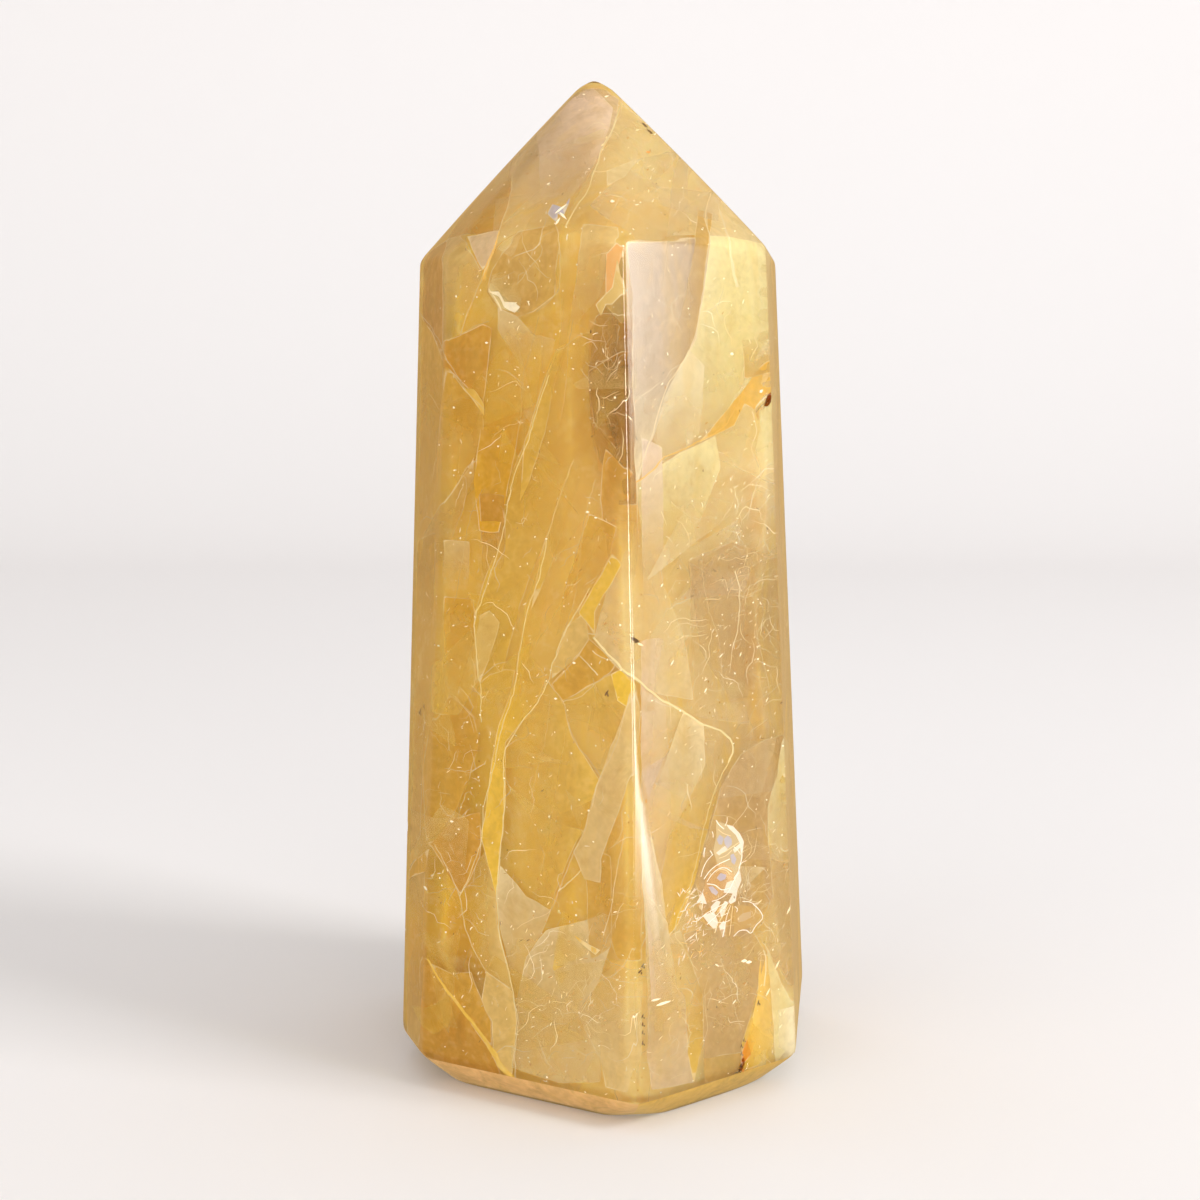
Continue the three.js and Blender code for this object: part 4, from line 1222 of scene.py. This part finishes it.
FOIL_RIBS = [
    (GLARE, 0.2, 0.15, "8.3,23.1 8.5,23.8 8.9,24.5 9.5,25"),  # left streak
    (GLARE, 0.2, 0.2, "8.6,22.8 9.1,23.4 9.7,23.8 10.3,24 11.2,24.2"),  # second streak
    (GLARE, 0.15, 0.2, "8.9,22.5 9.4,23.1 10.1,23.5 10.8,23.4 11.4,22.9"),  # arc
    (CREAM, 0.12, 0.15, "9.8,23.2 10.2,23.4 10.8,23.2 11.2,22.7"),  # inner arc
    (GLARE, 0.2, 0.2, "8.9,22.3 9.7,22 10.4,21.4 11.2,21.4"),  # under line
    (GLARE, 0.15, 0.2, "9.4,20.5 10.2,20.6 11,21 11.6,22 12.1,22.7"),  # cross line
    (GLARE, 0.2, 0.1, "11.6,22.2 12.1,22.9 12.3,23.5 12.9,23.7"),  # stray line up
    (GLARE, 0.25, 0.15, "9.8,28.2 10.1,27.7 10.6,27.2"),  # whisker
    (GLARE, 0.12, 0.15, "10.9,28.3 10.9,27.9 10.7,27.5"),  # whisker two
    (GLARE, 0.2, 0.12, "9.4,27.2 9.5,26.9 9.5,26.6"),  # left dots
    (GLARE, 0.3, 0.15, "8.7,25.8 8.6,25.3 8.6,24.9"),  # left dots below
    (GLARE, 0.22, 0.12, "9.2,25.4 9.4,25.1 9.4,24.9"),  # dot line
    (GLARE, 0.2, 0.15, "12.4,25 12.4,24 12.1,23.1"),  # right edge
    (GLARE, 0.12, 0.2, "11,20.1 9.9,19.8 8.9,19.5 8,19"),  # rib one
    (GLARE, 0.1, 0.2, "11.1,20 10.2,19.3 9.4,18.7 8.9,18.4"),  # rib two
    (CREAM, 0.1, 0.2, "11.2,19.8 10.5,18.9 10,18.2 9.7,17.4"),  # rib three
    (GLARE, 0.1, 0.2, "11.3,19.7 10.9,18.7 10.7,17.7 10.5,16.8"),  # rib four
    (CREAM, 0.1, 0.15, "11.5,19.6 11.4,18.6 11.3,17.6 11.2,16.8"),  # rib five
    (GLARE, 0.1, 0.12, "9.2,19.6 9.7,19.1 10.3,18.9 11,19"),  # cross ribs
    (GLARE, 0.1, 0.12, "9.4,18.8 9.9,18.4 10.6,18.2 11.3,18.3"),  # cross ribs below
    (GLARE, 0.2, 0.2,  # rim of the plate
     "11.6,16.6 12.2,17 12.9,16.9 13.4,16.5 13.9,17.1 14.6,17.7 14.3,18.5 13.6,19.3"),
    (GLARE, 0.2, 0.1, "12.5,19.8 13.2,19.6 13.7,19.3 14.2,19.2"),  # step in the rim
    (GLARE, 0.12, 0.12, "11.6,25.3 12,24.9 12.3,24.4"),  # slab line
    (CREAM, 0.1, 0.15, "10.2,24.9 10.7,25 11.4,25.3 12.1,25.6"),  # upper line
    (CREAM, 0.1, 0.12, "10.1,24.5 10.8,24.6 11.4,25"),  # middle line
    (CREAM, 0.12, 0.1, "10,27.3 10.4,26.9 10.7,26.7 11.3,26.4"),  # line by the haze
    (GLARE, 0.12, 0.15, "11.7,19.5 12,19.2 11.9,18.9"),  # hook
    (GLARE, 0.15, 0.1, "7.8,19.2 8,19.2 8.3,19.3"),  # stray
]
PLATE_BODY, PLATE_DEPTH, PLATE_STEP = 0.85, 0.75, 0.015
FOIL_ACROSS, FOIL_Z, FOIL_HALF = 7.6, 18.9, 3.4  # its middle and half its height
FOIL_LEAN, FOIL_FOOT, FOIL_FOOT_LEAN = -0.10, -1.5, 0.25  # its lean, with more of it at the foot
FOIL_GLINTS, GLINT_DEPTH = 110, 0.4
RIB_STEP, RIB_WIDTH, RIB_DEPTH = 0.15, 0.45, 0.3
foil = Sheets()
for number, (tint, strength, outline) in enumerate(FOIL_PLATES):
    depth = PLATE_DEPTH - PLATE_STEP * number
    veil(foil, 0, tint, PLATE_BODY * strength, depth, None, corners(outline), seed=number, fine=True)
for _ in range(FOIL_GLINTS):
    up = dice.uniform(-FOIL_HALF, FOIL_HALF)
    across = FOIL_ACROSS + FOIL_LEAN * up + dice.gauss(0, 0.75) + FOIL_FOOT_LEAN * up * (up < FOIL_FOOT)
    tint = dice.choice((GLARE, GLARE, PEACH, WHEAT))
    length, width, turn = dice.uniform(0.2, 0.9), dice.uniform(0.03, 0.1), dice.gauss(50, 38)
    bend, body = dice.uniform(-0.4, 0.4), dice.uniform(0.5, 1)
    flake(foil, 0, tint, across, FOIL_Z + up, length, width, turn, GLINT_DEPTH, bend, body)
for tint, start, end, path in FOIL_RIBS:
    path = curved(corners(path), RIB_STEP)
    ribbon(foil, 0, path, RIB_WIDTH * np.linspace(start, end, len(path)), RIB_DEPTH, tint)
add(foil.mesh("foil_fracture"), glowing_fleck_look, False)


def wander(start, degrees, steps, turning, shortest, longest):
    """A random path of short straight steps, which sets out at an angle and turns at each."""
    angle = math.radians(degrees)
    path = [np.array(start)]
    for _ in range(steps):
        angle += math.radians(dice.gauss(0, turning))
        step = dice.uniform(shortest, longest)
        path.append(path[-1] + step * np.array([math.cos(angle), math.sin(angle)]))
    return kept_in(path, -19, 19, 1, TOP + 0.5)


def swell(count, ends):
    """Widths that grow from a narrow end and shrink to the other."""
    return np.sin(np.linspace(ends, math.pi - ends, count))


# Flecks, wisps and cracks all round, thicker where the quartz is more broken: look, across,
# height, reach sideways and up, and how many.
BROKEN = [
    (0, 1.5, 68, 3, 7, 60), (0, 11, 50, 6, 9, 110), (0, 14, 20, 4, 7, 60), (0, -15, 24, 4, 12, 60),
    (0, -4, 12, 5, 9, 70), (0, -8, 80, 3, 3, 30), (0, 3, 91, 4, 4, 40), (0, 9, 76, 5, 6, 50),
    (0, -10, 45, 7, 30, 70), (120, 0, 40, 9, 30, 150), (180, 0, 50, 10, 30, 190),
    (245, 0, 45, 9, 30, 150), (180, 0, 90, 6, 5, 40), (0, 6, 40, 14, 30, 170), (0, 12, 45, 5, 28, 170),
    (0, 10, 14, 7, 9, 130), (0, -6, 14, 9, 9, 110), (0, -11, 40, 7, 30, 120), (0, 4, 88, 6, 6, 60),
]
SPREAD = 0.6  # share of a reach that is one standard deviation
FLECK_BELOW, SPECK_BELOW = 0.6, 0.72  # of the throws, those that make flecks and dark specks
WANDERING = math.degrees(0.45)
fleck_sheets = Sheets()


def fleck(look, across, z):
    """One fleck, dark speck or wandering crack."""
    kind, tint, turn = dice.random(), dice.choice((MILK, CREAM, SPARK)), dice.gauss(62, 38)
    if kind < FLECK_BELOW:
        length, width = dice.uniform(0.12, 0.55), dice.uniform(0.04, 0.11)
        depth, bend, body = dice.uniform(0.15, 1.2), dice.uniform(-0.5, 0.5), dice.uniform(0.5, 1)
        flake(fleck_sheets, look, tint, across, z, length, width, turn, depth, bend, body)
    elif kind < SPECK_BELOW:
        tint = dice.choice((AMBER, SOOT, UMBER))
        length, width = dice.uniform(0.15, 0.5), dice.uniform(0.06, 0.15)
        flake(fleck_sheets, look, tint, across, z, length, width, turn, dice.uniform(0.15, 0.8), 0.2, 0.6)
    else:
        path = wander((across, z), turn, dice.randint(4, 9), WANDERING, 0.3, 0.8)
        widths = dice.uniform(0.03, 0.07) * swell(len(path), 0.15)
        ribbon(fleck_sheets, look, path, widths, dice.uniform(0.25, 1.3), tint, dice.uniform(0.35, 0.8))


for look, across, z, wide, tall, count in BROKEN:
    for _ in range(count):
        x = across + dice.gauss(0, wide * SPREAD)
        y = min(max(z + dice.gauss(0, tall * SPREAD), 1.5), TOP)
        fleck(look, min(max(x, -18.5), 18.5), y)

# Hair cracks that turn sharply, over the broken places, in the same terms.
HAIRS = [
    (0, -0.6, 69, 1.2, 7.0, 44), (0, 13.5, 19, 3, 5, 50), (0, 9, 10, 4, 4, 36), (0, 13, 50, 3.5, 10, 70),
    (0, -4, 10, 6, 6, 60), (0, 4, 91, 3, 3, 14), (0, -16, 28, 3, 12, 30), (0, -10, 45, 6, 25, 50),
    (120, 0, 40, 7, 24, 70), (180, 0, 50, 9, 26, 90), (245, 0, 45, 7, 24, 70),
]
for look, across, z, wide, tall, count in HAIRS:
    for _ in range(count):
        turn = dice.gauss(70, 50)
        start = across + dice.gauss(0, wide * SPREAD), z + dice.gauss(0, tall * SPREAD)
        path = wander(start, turn, dice.randint(2, 6), 38, 0.15, 0.75)
        widths = dice.uniform(0.02, 0.05) * swell(len(path), 0.3)
        depth, tint = dice.uniform(0.15, 0.5), dice.choice((MILK, SPARK, CREAM))
        ribbon(fleck_sheets, look, path, widths, depth, tint, dice.uniform(0.2, 0.65))

# Pinpoint bubbles and painted glints, as tiny bright flakes that stand partly for sparkle of light: look, how
# many, across from and to, and height up to.
GLINTS = [(0, 220, -17, 17, 92), (105, 70, -9, 15, 88), (170, 90, -17, 17, 88), (238, 70, -15, 8, 88)]
for look, count, left, right, top in GLINTS:
    for _ in range(count):
        size = dice.uniform(0.1, 0.24)
        across, z = dice.uniform(left, right), dice.uniform(3, top)
        width = size * dice.uniform(0.4, 0.9)
        flake(fleck_sheets, look, SPARK, across, z, size, width, dice.uniform(0, 180), 0.15)
add(fleck_sheets.mesh("crack_flecks"), glowing_fleck_look, False)


# ---------------------------------------------------------------- floor, light and camera
MIDDLE = Vector((0, 0, 0.05))


def backdrop():
    """A pale floor that curves up behind the stone, in metres."""
    width, front, depth, bend, height = 3.0, -1.6, 0.55, 0.25, 1.6
    arc = np.linspace(0, math.pi / 2, 24)
    rising = zip(depth + bend * np.sin(arc), bend * (1 - np.cos(arc)))
    profile = [(front, 0.0), *rising, (depth + bend, height)]
    points = [(x, y, z) for y, z in profile for x in (-width, width)]
    faces = [(2 * i, 2 * i + 1, 2 * i + 3, 2 * i + 2) for i in range(len(profile) - 1)]
    t = Tree("backdrop_paper")
    paper = {"Base Color": rgb(246, 243, 242), "Roughness": 0.9, "Specular IOR Level": 0.0}
    mesh = smooth_mesh("backdrop", points, faces)
    mesh.materials.append(t.surface(t.node("BsdfPrincipled", paper)))
    piece = link("backdrop", mesh)
    piece.visible_glossy = False


def aimed(piece, azimuth, elevation, distance):
    """Set a lamp or a panel round the stone, facing its middle."""
    a, e = math.radians(azimuth), math.radians(elevation)
    back = Vector((math.sin(a) * math.cos(e), -math.cos(a) * math.cos(e), math.sin(e)))
    piece.location = MIDDLE + back * distance
    piece.rotation_mode = "QUATERNION"
    piece.rotation_quaternion = (-back).to_track_quat("-Z", "Y")


def lamp(name, azimuth, elevation, distance, size, power):
    data = bpy.data.lights.new(name, "AREA")
    data.shape = "RECTANGLE"
    data.size, data.size_y = size
    data.energy = power
    piece = link(name, data)
    aimed(piece, azimuth, elevation, distance)
    piece.visible_glossy = False


def softbox(name, azimuth, elevation, distance, size, strength):
    """A panel that shows in the polish alone, bright in the middle and dark at its edges."""
    t = Tree(name)
    away = t.node("VectorMath", {0: t.place}, operation="LENGTH").outputs["Value"]
    light = t.node("Emission", {"Strength": t.ramp(away, 1.0, 0.0, (0.0, strength))})
    t.material.cycles.emission_sampling = "NONE"
    mesh = bpy.data.meshes.new(name)
    mesh.from_pydata([(-1, -1, 0), (1, -1, 0), (1, 1, 0), (-1, 1, 0)], [], [(0, 1, 2, 3)])
    mesh.materials.append(t.surface(light))
    piece = link(name, mesh)
    aimed(piece, azimuth, elevation, distance)
    piece.scale = (*size, 1)
    piece.visible_camera = piece.visible_diffuse = piece.visible_shadow = False
    piece.visible_transmission = piece.visible_volume_scatter = False


def studio_sky(strength, seen, mirrored):
    """An even pale sky that the polish mirrors in another colour."""
    world = bpy.data.worlds.new("studio")
    world.use_nodes = True
    nodes, links = world.node_tree.nodes, world.node_tree.links
    sky, rays, both = nodes["Background"], nodes.new("ShaderNodeLightPath"), nodes.new("ShaderNodeMix")
    both.data_type = "RGBA"
    links.new(rays.outputs["Is Glossy Ray"], both.inputs[0])
    both.inputs[6].default_value, both.inputs[7].default_value = seen, mirrored
    links.new(both.outputs[2], sky.inputs[0])
    sky.inputs[1].default_value = strength
    bpy.context.scene.world = world


backdrop()
studio_sky(0.66, (1.0, 0.99, 0.985, 1), (0.96, 0.64, 0.29, 1))
lamp("key", 64, 36, 1.0, (0.3, 0.3), 4.5)
lamp("fill", -42, 4, 1.2, (0.9, 0.4), 5.6)
lamp("front", 18, 6, 1.2, (0.5, 0.4), 2.2)
softbox("edge_glow", 45, 2, 0.8, (0.2, 0.3), 22.0)
softbox("sheen", 77.0, 11.0, 0.8, (0.08, 0.18), 8.5)
softbox("worn_glow", 71.5, -8.5, 0.8, (0.075, 0.125), 14.0)

# The camera that was fitted to the photo, aimed at a point of the stone and looking down a little.
AIM = (-1.15, 1.25, 47.07)
AWAY = 193.5
DOWN = math.radians(6.33)
lens = bpy.data.cameras.new("camera")
lens.lens, lens.sensor_width = 55.5, 36
lens.clip_start, lens.clip_end = 0.01, 20
camera = link("camera", lens)
camera.location = Vector((AIM[0], AIM[1] - AWAY * math.cos(DOWN), AIM[2] + AWAY * math.sin(DOWN))) * MM
camera.rotation_euler = (math.pi / 2 - DOWN, 0, 0)
scene = bpy.context.scene
scene.camera = camera
scene.view_settings.view_transform = "Standard"
scene.cycles.diffuse_bounces = 3
scene.cycles.transmission_bounces = 8
scene.cycles.transparent_max_bounces = 16
scene.cycles.max_bounces = 8
